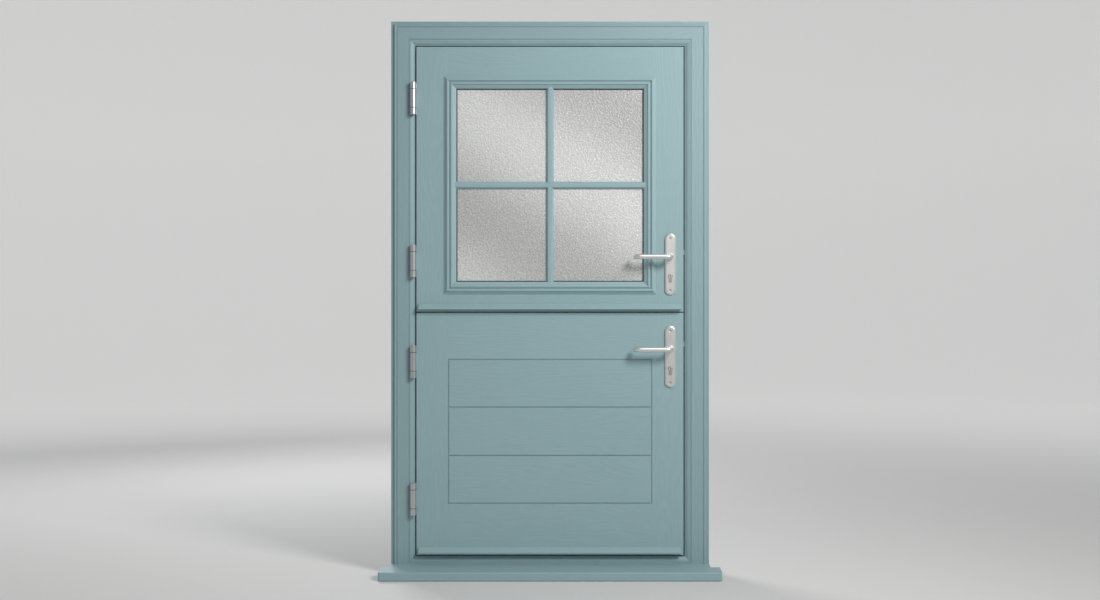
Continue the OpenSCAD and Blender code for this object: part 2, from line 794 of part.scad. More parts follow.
module euro_outline(grow) {
    circle(r = euro_r + grow);
    translate([-euro_w / 2 - grow, euro_w / 2 - euro_h]) square([euro_w + 2 * grow, euro_h - euro_w / 2]);
    translate([0, euro_w / 2 - euro_h]) circle(r = euro_w / 2 + grow);
}

// A hole or bar along y with a round or other outline in x and z, centred on the leaf
module across(z, l) {
    translate([0, l / 2, z]) rotate([90, 0, 0]) linear_extrude(l) children();
}

module lock_case() {
    color(zinc) difference() {
        union() {
            block([case_back, -case_t / 2, case_bottom], [backset - forend_t + 0.1, case_t / 2, case_top]);
            block([backset - forend_t, -forend_w / 2, -lever_up - forend_l / 2],
                  [backset, forend_w / 2, forend_l / 2 - lever_up]);
        }
        block([case_back + case_wall, case_wall - case_t / 2, case_bottom + case_wall],
              [backset - forend_t, case_t / 2 - case_wall, case_top - case_wall]);
        for (z = [latch_z, deadbolt_z])
            block([0, -bolt_t / 2 - slip, z[0] - slip], [backset + 1, bolt_t / 2 + slip, z[1] + slip]);
        translate([0, case_t, 0]) rotate([90, 0, 0]) cylinder(r = follower_r + running, h = 2 * case_t);
        across(-cylinder_drop, 2 * case_t) euro_outline(0.25);
        for (s = [-1, 1]) translate([backset, 0, s * forend_screw_z - lever_up]) mirror([1, 0, 0])
            screw_hole();
    }
}

module follower() {
    arm_w = 4;
    lean = lever_turn / 2;
    hole = spindle_w / 2 + spindle_fit;
    color(zinc) difference() {
        union() {
            translate([0, case_t / 2, 0]) rotate([90, 0, 0]) cylinder(r = follower_r, h = case_t);
            rotate([0, lean, 0]) {
                block([-arm_w / 2, -2.5, follower_r - 2], [arm_w / 2, 2.5, lug_orbit]);
                translate([0, 2.5, lug_orbit]) rotate([90, 0, 0]) cylinder(r = lug_r, h = 5);
            }
        }
        block([-hole, -case_t, -hole], [hole, case_t, hole]);
    }
}

module latch() {
    head_x = 36;
    tip = backset + latch_throw;
    slot_x = latch_throw / 2;
    slot_w = lug_r + slip;
    color(steel) difference() {
        union() {
            block([head_x, -bolt_t / 2, latch_z[0]], [tip, bolt_t / 2, latch_z[1]]);
            block([-6, -4, latch_tail_z], [head_x + 1, 4, latch_z[1]]);
        }
        block([slot_x - slot_w, -5, latch_tail_z - 1], [slot_x + slot_w, 5, lug_orbit + lug_r + 1]);
        translate([0, 0, latch_z[0] - 1]) linear_extrude(latch_z[1] - latch_z[0] + 2)
            polygon([[tip - latch_throw + 1, bolt_t / 2], [tip, 2 - bolt_t / 2], [tip + 1, 2 - bolt_t / 2],
                     [tip + 1, bolt_t], [tip - latch_throw + 1, bolt_t]]);
    }
}

module deadbolt() {
    color(steel) block([5, -bolt_t / 2, deadbolt_z[0]], [backset - 0.5, bolt_t / 2, deadbolt_z[1]]);
}

module key_cylinder() {
    web = euro_h - cam_r - 1;                 // height of the bridge under the cam
    color(steel) difference() {
        across(-cylinder_drop, cylinder_l) euro_outline(0);
        across(-cylinder_drop, 2 * cylinder_l) circle(r = plug_r + running);
        block([-20, -cam_t / 2 - cam_gap, -cylinder_drop - euro_h + web],
              [20, cam_t / 2 + cam_gap, 20 - cylinder_drop]);
    }
}

module key_plug() {
    color(steel) difference() {
        union() {
            across(-cylinder_drop, cylinder_l) circle(r = plug_r);
            across(-cylinder_drop, cam_t) intersection() {
                circle(r = cam_r);
                translate([-4, -cam_r]) square([8, cam_r]);
            }
        }
        for (s = [-1, 1]) translate([0, s * cylinder_l / 2, -cylinder_drop])
            block([-keyway_w / 2, -20, -keyway_h / 2], [keyway_w / 2, 20, keyway_h / 2]);
    }
}

module spindle() {
    l = leaf_t + 2 * (lever_h - spindle_short);
    color(steel) block([-spindle_w / 2, -l / 2, -spindle_w / 2], [spindle_w / 2, l / 2, spindle_w / 2]);
}

// A long plate with round ends and a chamfered rim, its back on the leaf's outer face
module handle_plate() {
    rim = 3;
    rim_w = 5;
    half = plate_l / 2 - plate_w / 2;
    rim_r = plate_w / 2 - rim_w;
    color(steel) translate([0, -leaf_t / 2, 0]) difference() {
        union() {
            rotate([90, 0, 0]) {
                for (s = [-1, 1]) translate([0, s * half - lever_up, 0]) {
                    cylinder(r = plate_w / 2, h = plate_t - rim);
                    translate([0, 0, plate_t - rim]) cylinder(r1 = plate_w / 2, r2 = rim_r, h = rim);
                }
                cylinder(r = boss_r, h = plate_t + boss_h);
            }
            translate([0, 0, -half - lever_up]) linear_extrude(2 * half) polygon([
                [-plate_w / 2, 0], [-plate_w / 2, rim - plate_t], [-rim_r, -plate_t], [rim_r, -plate_t],
                [plate_w / 2, rim - plate_t], [plate_w / 2, 0]]);
        }
        translate([0, 1, 0]) rotate([90, 0, 0]) cylinder(r = journal_r + running, h = plate_t + boss_h + 2);
        across(-cylinder_drop, 2 * leaf_t) euro_outline(0.3);
        for (s = [-1, 1]) translate([0, 0, s * plate_bolt_pitch / 2 - lever_up]) rotate([90, 0, 0]) {
            translate([0, 0, -1]) cylinder(r = plate_bolt_r + screw_fit, h = 2 * plate_t);
            translate([0, 0, plate_t - plate_bolt_head_h])
                cylinder(r1 = plate_bolt_r + screw_fit, r2 = plate_bolt_head_r + screw_fit,
                         h = plate_bolt_head_h);
        }
    }
}

// A bar bent back at both ends, with a journal that turns in the plate
module lever() {
    bend = 16;
    base = leaf_t / 2 + plate_t + boss_h + 0.3;
    rise = leaf_t / 2 + lever_h;
    tip = lever_reach - lever_r;
    socket = spindle_w / 2 + spindle_fit;
    color(steel) difference() {
        rotate([90, 0, 0]) {
            translate([0, 0, leaf_t / 2 + 0.5]) cylinder(r = journal_r, h = base - leaf_t / 2);
            translate([0, 0, base]) cylinder(r = lever_r, h = rise - bend - base);
            for (end = [[-bend, 0], [bend - tip, 90]]) translate([end[0], 0, rise - bend]) rotate([90, 0, 0])
                rotate([0, 0, end[1]]) rotate_extrude(angle = 90) translate([bend, 0]) circle(r = lever_r);
            translate([bend - tip, 0, rise]) rotate([0, 90, 0]) cylinder(r = lever_r, h = tip - 2 * bend);
            translate([-tip, 0, rise - bend - 8]) cylinder(r = lever_r, h = 8);
        }
        block([-socket, -rise + spindle_short - 0.5, -socket], [socket, 0, socket]);
    }
}

// Swaps outside for inside within the lock's frame
module other_side() { mirror([0, 1, 0]) children(); }

// Bolts from the outer plate into the inner plate
module plate_bolts() {
    head = leaf_t / 2 + plate_t;
    color(steel) for (s = [-1, 1]) translate([0, 0, s * plate_bolt_pitch / 2 - lever_up]) difference() {
        translate([0, -head, 0]) rotate([-90, 0, 0]) {
            cylinder(r1 = plate_bolt_head_r, r2 = plate_bolt_r, h = plate_bolt_head_h);
            cylinder(r = plate_bolt_r, h = 2 * head - 3);
        }
        translate([0, -head + 1.5, 0]) rotate([90, 0, 0]) cylinder(r = 2, h = 3, $fn = 6);
    }
}

module at_upper() { translate([lock_x, leaf_mid, upper_lever_z]) children(); }
module at_lower() { translate([lock_x, leaf_mid, lower_lever_z]) children(); }

module upper_lock_case() { at_upper() lock_case(); }
module upper_follower() { at_upper() follower(); }
module upper_latch() { at_upper() latch(); }
module upper_deadbolt() { at_upper() deadbolt(); }
module upper_cylinder() { at_upper() key_cylinder(); }
module upper_key_plug() { at_upper() key_plug(); }
module upper_spindle() { at_upper() spindle(); }
module upper_outer_plate() { at_upper() handle_plate(); }
module upper_inner_plate() { at_upper() other_side() handle_plate(); }
module upper_outer_lever() { at_upper() lever(); }
module upper_inner_lever() { at_upper() other_side() lever(); }
module upper_plate_bolts() { at_upper() plate_bolts(); }
module lower_lock_case() { at_lower() lock_case(); }
module lower_follower() { at_lower() follower(); }
module lower_latch() { at_lower() latch(); }
module lower_deadbolt() { at_lower() deadbolt(); }
module lower_cylinder() { at_lower() key_cylinder(); }
module lower_key_plug() { at_lower() key_plug(); }
module lower_spindle() { at_lower() spindle(); }
module lower_outer_plate() { at_lower() handle_plate(); }
module lower_inner_plate() { at_lower() other_side() handle_plate(); }
module lower_outer_lever() { at_lower() lever(); }
module lower_inner_lever() { at_lower() other_side() lever(); }
module lower_plate_bolts() { at_lower() plate_bolts(); }

frame_head();
frame_hinge_jamb();
frame_lock_jamb();
frame_bottom_rail();
cill();
frame_seal();
strike_plates();
frame_hinge_plates();
hinge_pins();
frame_screws();
upper_hinge_stile();
upper_lock_stile();
upper_top_rail();
upper_meeting_rail();
outer_glazing_frame();
inner_glazing_frame();
outer_glazing_bars();
inner_glazing_bars();
outer_pane();
inner_pane();
spacer_bar();
upper_weather_bar();
meeting_seal();
upper_hinge_plates();
upper_leaf_screws();
upper_lock_case();
upper_follower();
upper_latch();
upper_deadbolt();
upper_cylinder();
upper_key_plug();
upper_spindle();
upper_outer_plate();
upper_inner_plate();
upper_outer_lever();
upper_inner_lever();
upper_plate_bolts();
lower_hinge_stile();
lower_lock_stile();
lower_meeting_rail();
lower_bottom_rail();
lower_top_board();
lower_middle_board();
lower_bottom_board();
lower_weather_bar();
lower_hinge_plates();
lower_leaf_screws();
lower_lock_case();
lower_follower();
lower_latch();
lower_deadbolt();
lower_cylinder();
lower_key_plug();
lower_spindle();
lower_outer_plate();
lower_inner_plate();
lower_outer_lever();
lower_inner_lever();
lower_plate_bolts();
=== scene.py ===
"""Looks of the two-leaf stable door: painted timber, obscure glass and satin steel, in metres."""

from __future__ import annotations

import json
import logging
import math
from dataclasses import dataclass
from enum import Enum
from typing import Any, ClassVar

import bpy
import numpy as np
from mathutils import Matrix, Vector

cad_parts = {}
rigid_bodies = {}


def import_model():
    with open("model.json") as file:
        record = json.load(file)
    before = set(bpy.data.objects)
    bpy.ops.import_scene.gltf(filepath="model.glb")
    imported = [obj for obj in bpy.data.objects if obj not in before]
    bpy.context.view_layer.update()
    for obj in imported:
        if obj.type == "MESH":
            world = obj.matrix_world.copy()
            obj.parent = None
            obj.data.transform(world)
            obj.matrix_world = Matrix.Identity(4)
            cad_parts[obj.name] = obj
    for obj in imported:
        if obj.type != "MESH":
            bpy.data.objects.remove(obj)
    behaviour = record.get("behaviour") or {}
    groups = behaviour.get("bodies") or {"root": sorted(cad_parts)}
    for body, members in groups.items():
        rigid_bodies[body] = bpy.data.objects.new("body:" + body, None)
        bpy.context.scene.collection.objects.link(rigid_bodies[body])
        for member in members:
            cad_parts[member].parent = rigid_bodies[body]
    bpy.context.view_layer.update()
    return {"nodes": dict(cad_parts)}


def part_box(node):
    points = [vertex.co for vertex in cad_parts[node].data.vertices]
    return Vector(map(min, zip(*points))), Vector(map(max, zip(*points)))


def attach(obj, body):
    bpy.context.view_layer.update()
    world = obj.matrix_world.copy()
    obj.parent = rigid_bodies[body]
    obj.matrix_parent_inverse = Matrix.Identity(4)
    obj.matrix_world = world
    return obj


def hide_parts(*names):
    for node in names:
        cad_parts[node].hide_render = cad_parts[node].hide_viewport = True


log = logging.getLogger("stable_door")
MM = 0.001
SCRATCH_DEPTH = 0.04 * MM
SCRATCHES_PER_METRE = 5200.0

# ---------- shader graphs ----------


class Sock:
    """A number in a shader graph that can be written into plain arithmetic."""

    def __init__(self, graph: Graph, socket: bpy.types.NodeSocket) -> None:
        """Keeps the graph and the socket that gives the number."""
        self.graph = graph
        self.socket = socket

    def _do(self, operation: str, *values: Any) -> Sock:
        """The result of one Math node on the given numbers."""
        return self.graph.math(operation, *values)

    def __add__(self, other: Sock | float) -> Sock:
        """This number plus another."""
        return self._do("ADD", self, other)

    __radd__ = __add__

    def __mul__(self, other: Sock | float) -> Sock:
        """This number times another."""
        return self._do("MULTIPLY", self, other)

    __rmul__ = __mul__

    def __sub__(self, other: Sock | float) -> Sock:
        """This number less another."""
        return self._do("SUBTRACT", self, other)

    def __rsub__(self, other: Sock | float) -> Sock:
        """Another number less this one."""
        return self._do("SUBTRACT", other, self)

    def __truediv__(self, other: Sock | float) -> Sock:
        """This number divided by another."""
        return self._do("DIVIDE", self, other)

    def __rtruediv__(self, other: Sock | float) -> Sock:
        """Another number divided by this one."""
        return self._do("DIVIDE", other, self)

    def __pow__(self, other: Sock | float) -> Sock:
        """This number raised to a power."""
        return self._do("POWER", self, other)

    def sine(self) -> Sock:
        """The sine of this number, in radians."""
        return self._do("SINE", self)

    def size(self) -> Sock:
        """This number without its sign."""
        return self._do("ABSOLUTE", self)


class Graph:
    """The node tree of one material, with a Principled shader to feed."""

    def __init__(self, name: str) -> None:
        """Starts a material of that name with only its shader and output."""
        self.material = bpy.data.materials.new(name)
        self.material.use_nodes = True
        self.tree = self.material.node_tree
        self.tree.nodes.clear()
        self.shader = self.add("ShaderNodeBsdfPrincipled")
        self.add("ShaderNodeOutputMaterial", inputs={"Surface": self.shader.outputs["BSDF"]})

    def add(self, kind: str, settings: dict[str, Any] | None = None,
            inputs: dict[str | int, Any] | None = None) -> bpy.types.Node:
        """Adds one node.

        Args:
            kind: the node's type.
            settings: its own options, set before its sockets.
            inputs: a value, a socket or a Sock for each named or numbered input.

        Returns:
            The new node.
        """
        node = self.tree.nodes.new(kind)
        for name, value in (settings or {}).items():
            setattr(node, name, value)
        for name, value in (inputs or {}).items():
            self._fill(node.inputs[name], value)
        return node

    def _fill(self, socket: bpy.types.NodeSocket, value: Any) -> None:
        """Links another socket or a Sock to a socket, or gives it a plain value.

        Args:
            socket: the input.
            value: what goes in.
        """
        value = value.socket if isinstance(value, Sock) else value
        if isinstance(value, bpy.types.NodeSocket):
            self.tree.links.new(value, socket)
        else:
            socket.default_value = value

    def math(self, operation: str, *values: Any) -> Sock:
        """One Math node.

        Args:
            operation: what it does.
            values: its numbers, plain or Socks.

        Returns:
            Its result.
        """
        node = self.add("ShaderNodeMath", {"operation": operation}, dict(enumerate(values)))
        return Sock(self, node.outputs[0])

    def place(self, source: str = "Object") -> tuple[Sock, Sock, Sock]:
        """The three coordinates of the point being shaded, from the object's space or its UV map."""
        coords = self.add("ShaderNodeTexCoord").outputs[source]
        split = self.add("ShaderNodeSeparateXYZ", inputs={0: coords})
        return tuple(Sock(self, split.outputs[i]) for i in range(3))

    def point(self, x: Sock | float, y: Sock | float, z: Sock | float) -> bpy.types.NodeSocket:
        """Three numbers as one vector."""
        return self.add("ShaderNodeCombineXYZ", inputs={0: x, 1: y, 2: z}).outputs[0]

    def noise(self, vector: bpy.types.NodeSocket, scale: float = 1.0, detail: float = 2.0,
              roughness: float = 0.5) -> Sock:
        """Smooth noise.

        Args:
            vector: where it is read.
            scale: how many lumps to a unit.
            detail: how many finer layers.
            roughness: how strong the finer layers are.

        Returns:
            A number about a half, from nought to one.
        """
        node = self.add("ShaderNodeTexNoise", inputs={
            "Vector": vector, "Scale": scale, "Detail": detail, "Roughness": roughness})
        return Sock(self, node.outputs["Fac"])

    def step(self, value: Sock, start: float, end: float, low: float = 0.0, high: float = 1.0) -> Sock:
        """A smooth rise from low at the start to high at the end.

        Args:
            value: the number that is stepped.
            start: where the rise starts.
            end: where it ends, which may be below the start.
            low: what it gives at the start.
            high: what it gives at the end.

        Returns:
            The stepped number.
        """
        node = self.add("ShaderNodeMapRange", {"interpolation_type": "SMOOTHSTEP"}, {
            0: value, 1: start, 2: end, 3: low, 4: high})
        return Sock(self, node.outputs[0])

    def shades(self, factor: Sock, colour: tuple[float, float, float], low: float,
               high: float) -> bpy.types.NodeSocket:
        """A colour between a darker and a lighter shade of one.

        Args:
            factor: nought for the first shade and one for the second.
            colour: the colour.
            low: what the first is of it.
            high: what the second is of it.

        Returns:
            The colour's socket.
        """
        dark, light = ((*tint(colour, by), 1.0) for by in (low, high))
        return self.add("ShaderNodeMix", {"data_type": "RGBA"}, {0: factor, 6: dark, 7: light}).outputs[2]

    def relief(self, height: Sock, depth: float, strength: float) -> None:
        """Feeds a height to the shader's normal.

        Args:
            height: from nought to one.
            depth: what a height of one stands for, in metres.
            strength: how much of it shows.
        """
        bump = self.add("ShaderNodeBump", inputs={
            "Height": height, "Distance": depth, "Strength": strength})
        self.feed(Normal=bump.outputs[0])

    def feed(self, **inputs: Any) -> None:
        """Sets or links the shader's sockets, named with _ for a space."""
        for name, value in inputs.items():
            self._fill(self.shader.inputs[name.replace("_", " ")], value)


def tint(colour: tuple[float, float, float], by: float) -> tuple[float, float, float]:
    """A colour made lighter or darker by a factor."""
    return tuple(min(1.0, c * by) for c in colour)


class Grain(Enum):
    """Which way a timber piece's fibres run."""

    ACROSS = "x"
    UPRIGHT = "z"
    ALONG_RUN = "uv"


class Finish:
    """A finish whose material is built when it is first asked for, and shared after that."""

    label: ClassVar[str] = ""

    def title(self) -> str:
        """The material's name."""
        return self.label

    def wire(self, g: Graph) -> None:
        """Wires up the material's graph."""
        raise NotImplementedError

    def material(self) -> bpy.types.Material:
        """The finish's material.

        Returns:
            The material of that name, made now if there is none.
        """
        name = self.title()
        if name not in bpy.data.materials:
            self.wire(Graph(name))
        return bpy.data.materials[name]


@dataclass(frozen=True)
class PaintedTimber(Finish):
    """Paint on open-grained timber: the grain shows through as low, long relief."""

    grain: Grain
    board: int = 0
    colour: tuple[float, float, float] = (0.295, 0.438, 0.465)
    figure_pitch: float = 0.013
    pore_pitch: float = 0.0032
    relief: float = 0.0007

    def title(self) -> str:
        """The material's name."""
        return f"painted_timber_{self.grain.value}_{self.board}"

    def wire(self, g: Graph) -> None:
        """Wires the paint.

        Rings are the sine of the distance across the board, pushed about by slow noise, so they close
        into long arches. Pores are noise drawn out along the fibres.

        Args:
            g: the material's graph.
        """
        x, y, z = g.place("UV" if self.grain is Grain.ALONG_RUN else "Object")
        if self.grain is Grain.UPRIGHT:
            run, across = z, x + y * 0.8
        elif self.grain is Grain.ACROSS:
            run, across = x, z + y * 0.8
        else:
            run, across = x, y
        shift = self.board * 3.71
        drift = g.noise(g.point(run * 1.1, across * 5.5, shift), detail=3.0)
        rings = ((across / self.figure_pitch + drift * 22.0) * (2 * math.pi)).sine() * 0.5 + 0.5
        fibres = g.noise(g.point(run * 16.0, across / self.pore_pitch, shift), detail=4.0, roughness=0.62)
        patch = g.noise(g.point(run * 2.2, across * 7.0, shift + 9.0), detail=2.0)
        ridge = (rings ** 2.2) * 0.45 + fibres * 0.55
        shade = ridge * 0.55 + patch * 0.45
        g.feed(Base_Color=g.shades(shade, self.colour, 0.93, 1.07),
               Roughness=0.52 - ridge * 0.12, IOR=1.48)
        g.relief(ridge, self.relief, 0.42)


@dataclass(frozen=True)
class SatinSteel(Finish):
    """Brushed stainless steel: fine scratches one way, with a soft unevenness of polish."""

    brushed: Grain = Grain.UPRIGHT
    name: str = "satin_steel_plain"
    colour: tuple[float, float, float] = (0.88, 0.875, 0.86)
    roughness: float = 0.38

    def title(self) -> str:
        """The material's name."""
        return f"{self.name}_{self.brushed.value}"

    def wire(self, g: Graph) -> None:
        """Wires the metal: scratches are noise a fifth of a millimetre wide, drawn out along the brushing.

        Args:
            g: the material's graph.
        """
        x, y, z = g.place()
        if self.brushed is Grain.UPRIGHT:
            run, across = z, x + y
        else:
            run, across = x, z + y
        scratches = g.noise(g.point(run * 60.0, across * SCRATCHES_PER_METRE, 0.0), detail=3.0, roughness=0.7)
        cloud = g.noise(g.point(x * 45.0, y * 45.0, z * 45.0), detail=3.0)
        shine = scratches * 0.6 + cloud * 0.4
        g.feed(Base_Color=g.shades(shine, self.colour, 0.88, 1.06), Metallic=1.0,
               Roughness=self.roughness - 0.06 + scratches * 0.10 + cloud * 0.05)
        g.relief(scratches, SCRATCH_DEPTH, 0.35)


@dataclass(frozen=True)
class HingeSteel(Finish):
    """Brushed steel hinges, with a dark line of painted shade where one knuckle meets the next."""

    label: ClassVar[str] = "hinge_steel"
    colour: tuple[float, float, float] = (0.61, 0.61, 0.615)
    roughness: float = 0.33
    centres: tuple[float, ...] = (0.285, 0.799, 1.176, 1.785)
    split: float = 0.0349
    line: float = 0.0014

    def wire(self, g: Graph) -> None:
        """Wires the metal.

        The lines lie where the distance up or down from the nearest hinge's middle is that of the split
        between two knuckles. Scratches are noise drawn out round the barrel.

        Args:
            g: the material's graph.
        """
        x, y, z = g.place()
        nearest = (z - self.centres[0]).size()
        for centre in self.centres[1:]:
            nearest = g.math("MINIMUM", nearest, (z - centre).size())
        # painted shade: a dark line on the metal where the gap between two knuckles falls
        painted_gap_shade = g.step((nearest - self.split).size(), self.line, self.line * 0.4)
        scratches = g.noise(g.point(x * 90.0, y * 90.0, z * 4800.0), detail=3.0, roughness=0.7)
        cloud = g.noise(g.point(x * 60.0, y * 60.0, z * 60.0), detail=3.0)
        shine = 0.84 + scratches * 0.10 + cloud * 0.06 - painted_gap_shade * 0.86
        g.feed(Base_Color=g.shades(shine, self.colour, 0.05, 1.10), Metallic=1.0,
               Roughness=self.roughness - 0.05 + scratches * 0.10 + painted_gap_shade * 0.4)
        g.relief(scratches, SCRATCH_DEPTH, 0.35)


@dataclass(frozen=True)
class PlatedZinc(Finish):
    """Cast and plated lock parts: dull, faintly pitted."""

    label: ClassVar[str] = "plated_zinc"
    colour: tuple[float, float, float] = (0.50, 0.495, 0.48)

    def wire(self, g: Graph) -> None:
        """Wires the casting: cloudy plating over small pits.

        Args:
            g: the material's graph.
        """
        x, y, z = g.place()
        cloud = g.noise(g.point(x, y, z), scale=130.0, detail=4.0)
        pits = g.noise(g.point(x, y, z), scale=1900.0, detail=2.0)
        g.feed(Base_Color=g.shades(cloud, self.colour, 0.84, 1.12),
               Metallic=0.9, Roughness=0.36 + cloud * 0.16)
        g.relief(pits, 0.00008, 0.4)


@dataclass(frozen=True)
class RubberSeal(Finish):
    """Black extruded rubber, with fine run lines and a little bloom."""

    label: ClassVar[str] = "black_rubber"
    colour: tuple[float, float, float] = (0.020, 0.022, 0.023)

    def wire(self, g: Graph) -> None:
        """Wires the rubber: bloom as pale cloudy patches on matt black.

        Args:
            g: the material's graph.
        """
        x, y, z = g.place()
        bloom = g.noise(g.point(x, y, z), scale=38.0, detail=4.0, roughness=0.6)
        fine = g.noise(g.point(x, y, z), scale=1400.0, detail=2.0)
        g.feed(Base_Color=g.shades(bloom, self.colour, 1.0, 2.2),
               Roughness=0.58 + bloom * 0.18)
        g.relief(fine, 0.00006, 0.35)


@dataclass(frozen=True)
class ObscureGlass(Finish):
    """Pressed obscure glass: a pale, light-spreading pane with a small random stipple."""

    label: ClassVar[str] = "pressed_glass"
    colour: tuple[float, float, float] = (0.76, 0.768, 0.762)
    grain_size: float = 0.0072
    transmission: float = 0.25
    depth: float = 0.0022
    middle_height: float = 1.461

    def wire(self, g: Graph) -> None:
        """Wires the glass.

        The stipple is the distance to scattered points, rounded off by finer noise. The sine of a
        slanting distance, pushed about by slow noise, makes broad paler and darker bands: a painted
        reflection of the surroundings in the glass.

        Args:
            g: the material's graph.
        """
        x, y, z = g.place()
        here = g.point(x, y, z)
        pips = Sock(g, g.add("ShaderNodeTexVoronoi", {"feature": "SMOOTH_F1"}, {
            "Vector": here, "Scale": 1.0 / self.grain_size, "Smoothness": 0.6}).outputs["Distance"])
        fine = g.noise(here, scale=2.4 / self.grain_size, detail=3.0, roughness=0.6)
        slow = g.noise(here, scale=3.2, detail=3.0)
        # painted reflection: broad slanting paler and darker bands in the glass's colour
        painted_reflection = ((z - self.middle_height) * 8.5 + x * 5.0 + slow * 1.2 + 0.17).sine()
        speck = g.noise(here, scale=1.1 / self.grain_size, detail=2.0)
        height = pips * 0.7 + fine * 0.45
        tone = 0.5 + painted_reflection * 0.34 + (speck - 0.5) * 1.5 + (pips - 0.5) * 0.3
        g.feed(Base_Color=g.shades(tone, self.colour, 0.72, 1.26),
               Roughness=0.16 + fine * 0.22, IOR=1.50, Transmission_Weight=self.transmission)
        g.relief(height, self.depth, 0.9)


@dataclass(frozen=True)
class SpacerMetal(Finish):
    """Mill-finished aluminium spacer with its rows of tiny breather slots."""

    label: ClassVar[str] = "spacer_metal"
    colour: tuple[float, float, float] = (0.60, 0.61, 0.61)

    def wire(self, g: Graph) -> None:
        """Wires the aluminium: faint rolling marks, and slots as dips of the sine of x + z.

        Args:
            g: the material's graph.
        """
        x, y, z = g.place()
        marks = g.noise(g.point(x * 40.0, y * 2600.0, z * 40.0), detail=3.0)
        slots = (((x + z) * 2600.0).sine() * 0.5 + 0.5) ** 6.0
        g.feed(Base_Color=g.shades(marks, self.colour, 0.86, 1.08),
               Metallic=0.85, Roughness=0.34 + marks * 0.14)
        g.relief(marks * 0.3 - slots * 0.7, 0.0001, 0.3)


@dataclass(frozen=True)
class StudioPaper(Finish):
    """The pale matt ground that the door stands on. The glow's distances are in metres."""

    label: ClassVar[str] = "studio_paper"
    colour: tuple[float, float, float] = (0.72, 0.72, 0.715)
    glow: float = 0.40
    glow_from: float = 1.0
    glow_to: float = 7.5
    front_share: float = 0.35

    def wire(self, g: Graph) -> None:
        """Wires the paper: matt, with the faintest mottle, and lit from behind away from the door.

        The glow rises between two distances from the middle, and is weaker in front of the door.

        Args:
            g: the material's graph.
        """
        x, y, z = g.place()
        mottle = g.noise(g.point(x, y, z), scale=3.0, detail=3.0)
        away = (x * x + y * y) ** 0.5
        behind = g.step(y, -self.glow_to, self.glow_to, self.front_share)
        rise = g.step(away, self.glow_from, self.glow_to) * behind
        g.feed(Base_Color=g.shades(mottle, self.colour, 0.99, 1.01), Roughness=0.92,
               Emission_Color=g.shades(rise, self.colour, 0.0, 1.0), Emission_Strength=self.glow)


# ---------- surfaces ----------


def belts(first: int, last: int, m: int) -> np.ndarray:
    """The four-sided faces between neighbouring rings of m points, from one ring to another."""
    i, j = np.meshgrid(np.arange(first, last), np.arange(m), indexing="ij")
    k = (j + 1) % m
    return np.stack([i * m + j, i * m + k, (i + 1) * m + k, (i + 1) * m + j], axis=-1).reshape(-1, 4)


@dataclass
class Surface:
    """One or more closed shells as arrays: points, four-sided faces, end faces and a UV for each point."""

    points: np.ndarray
    quads: np.ndarray
    ends: list[list[int]]
    uv: np.ndarray

    @staticmethod
    def loft(rings: np.ndarray, uv: np.ndarray) -> Surface:
        """Skins a row of closed rings and closes both ends.

        Where the shell comes out inside out, which shows as a negative volume, its faces are turned over.

        Args:
            rings: points by station and by place round the ring, as stations x ring x 3.
            uv: the same, as stations x ring x 2.

        Returns:
            The closed shell.
        """
        n, m = rings.shape[:2]
        quads = belts(0, n - 1, m)
        first, last = list(range(m))[::-1], list(range((n - 1) * m, n * m))
        points = rings.reshape(-1, 3)
        a, b, c, d = (points[quads[:, q]] for q in range(4))
        volume = (a * np.cross(b, c)).sum() + (a * np.cross(c, d)).sum()
        for cap in (first, last):
            p = points[cap]
            volume += (p[0] * np.cross(p[1:-1], p[2:])).sum()
        if volume < 0:
            quads = quads[:, ::-1]
            first, last = first[::-1], last[::-1]
        return Surface(points, quads, [first, last], uv.reshape(-1, 2))

    @staticmethod
    def joined(parts: list[Surface]) -> Surface:
        """Several surfaces as one, their faces renumbered.

        Args:
            parts: the surfaces.

        Returns:
            All of them in one.
        """
        starts = np.cumsum([0] + [len(p.points) for p in parts[:-1]])
        return Surface(
            np.concatenate([p.points for p in parts]),
            np.concatenate([p.quads + s for p, s in zip(parts, starts)]),
            [[q + int(s) for q in end] for p, s in zip(parts, starts) for end in p.ends],
            np.concatenate([p.uv for p in parts]))

    def piece(self, name: str, material: bpy.types.Material, smooth: float = 32.0) -> bpy.types.Object:
        """Makes the object.

        Args:
            name: its name.
            material: its finish.
            smooth: the angle, in degrees, above which an edge stays sharp.

        Returns:
            The object, at the origin.
        """
        mesh = bpy.data.meshes.new(name)
        mesh.from_pydata(self.points.tolist(), [], self.quads.tolist() + self.ends)
        layer = mesh.uv_layers.new(name="run")
        corners = np.empty(len(mesh.loops), dtype=np.int64)
        mesh.loops.foreach_get("vertex_index", corners)
        layer.data.foreach_set("uv", self.uv[corners].astype(np.float32).ravel())
        mesh.shade_smooth()
        mesh.set_sharp_from_angle(angle=math.radians(smooth))
        mesh.materials.append(material)
        mesh.validate()
        thing = bpy.data.objects.new(name, mesh)
        bpy.context.scene.collection.objects.link(thing)
        return thing


def arc(centre: tuple[float, float], radius: float, start: float, end: float, count: int) -> np.ndarray:
    """Points on a circle, from one angle to another in degrees, the angle turning from +x to +y."""
    angle = np.radians(np.linspace(start, end, count))
    return np.stack([centre[0] + radius * np.cos(angle), centre[1] + radius * np.sin(angle)], axis=-1)


def shrunk(section: np.ndarray, by: float) -> np.ndarray:
    """A closed section drawn in along its own normals, each square to the line between its neighbours.

    Args:
        section: points on a plane, in order.
        by: how far they are drawn in.

    Returns:
        The smaller section.
    """
    along = np.roll(section, -1, axis=0) - np.roll(section, 1, axis=0)
    normal = np.stack([along[:, 1], -along[:, 0]], axis=-1)
    normal /= np.maximum(np.linalg.norm(normal, axis=1, keepdims=True), 1e-9)
    area = np.sum(section[:, 0] * np.roll(section[:, 1], -1) - section[:, 1] * np.roll(section[:, 0], -1))
    return section - normal * by * np.sign(area)


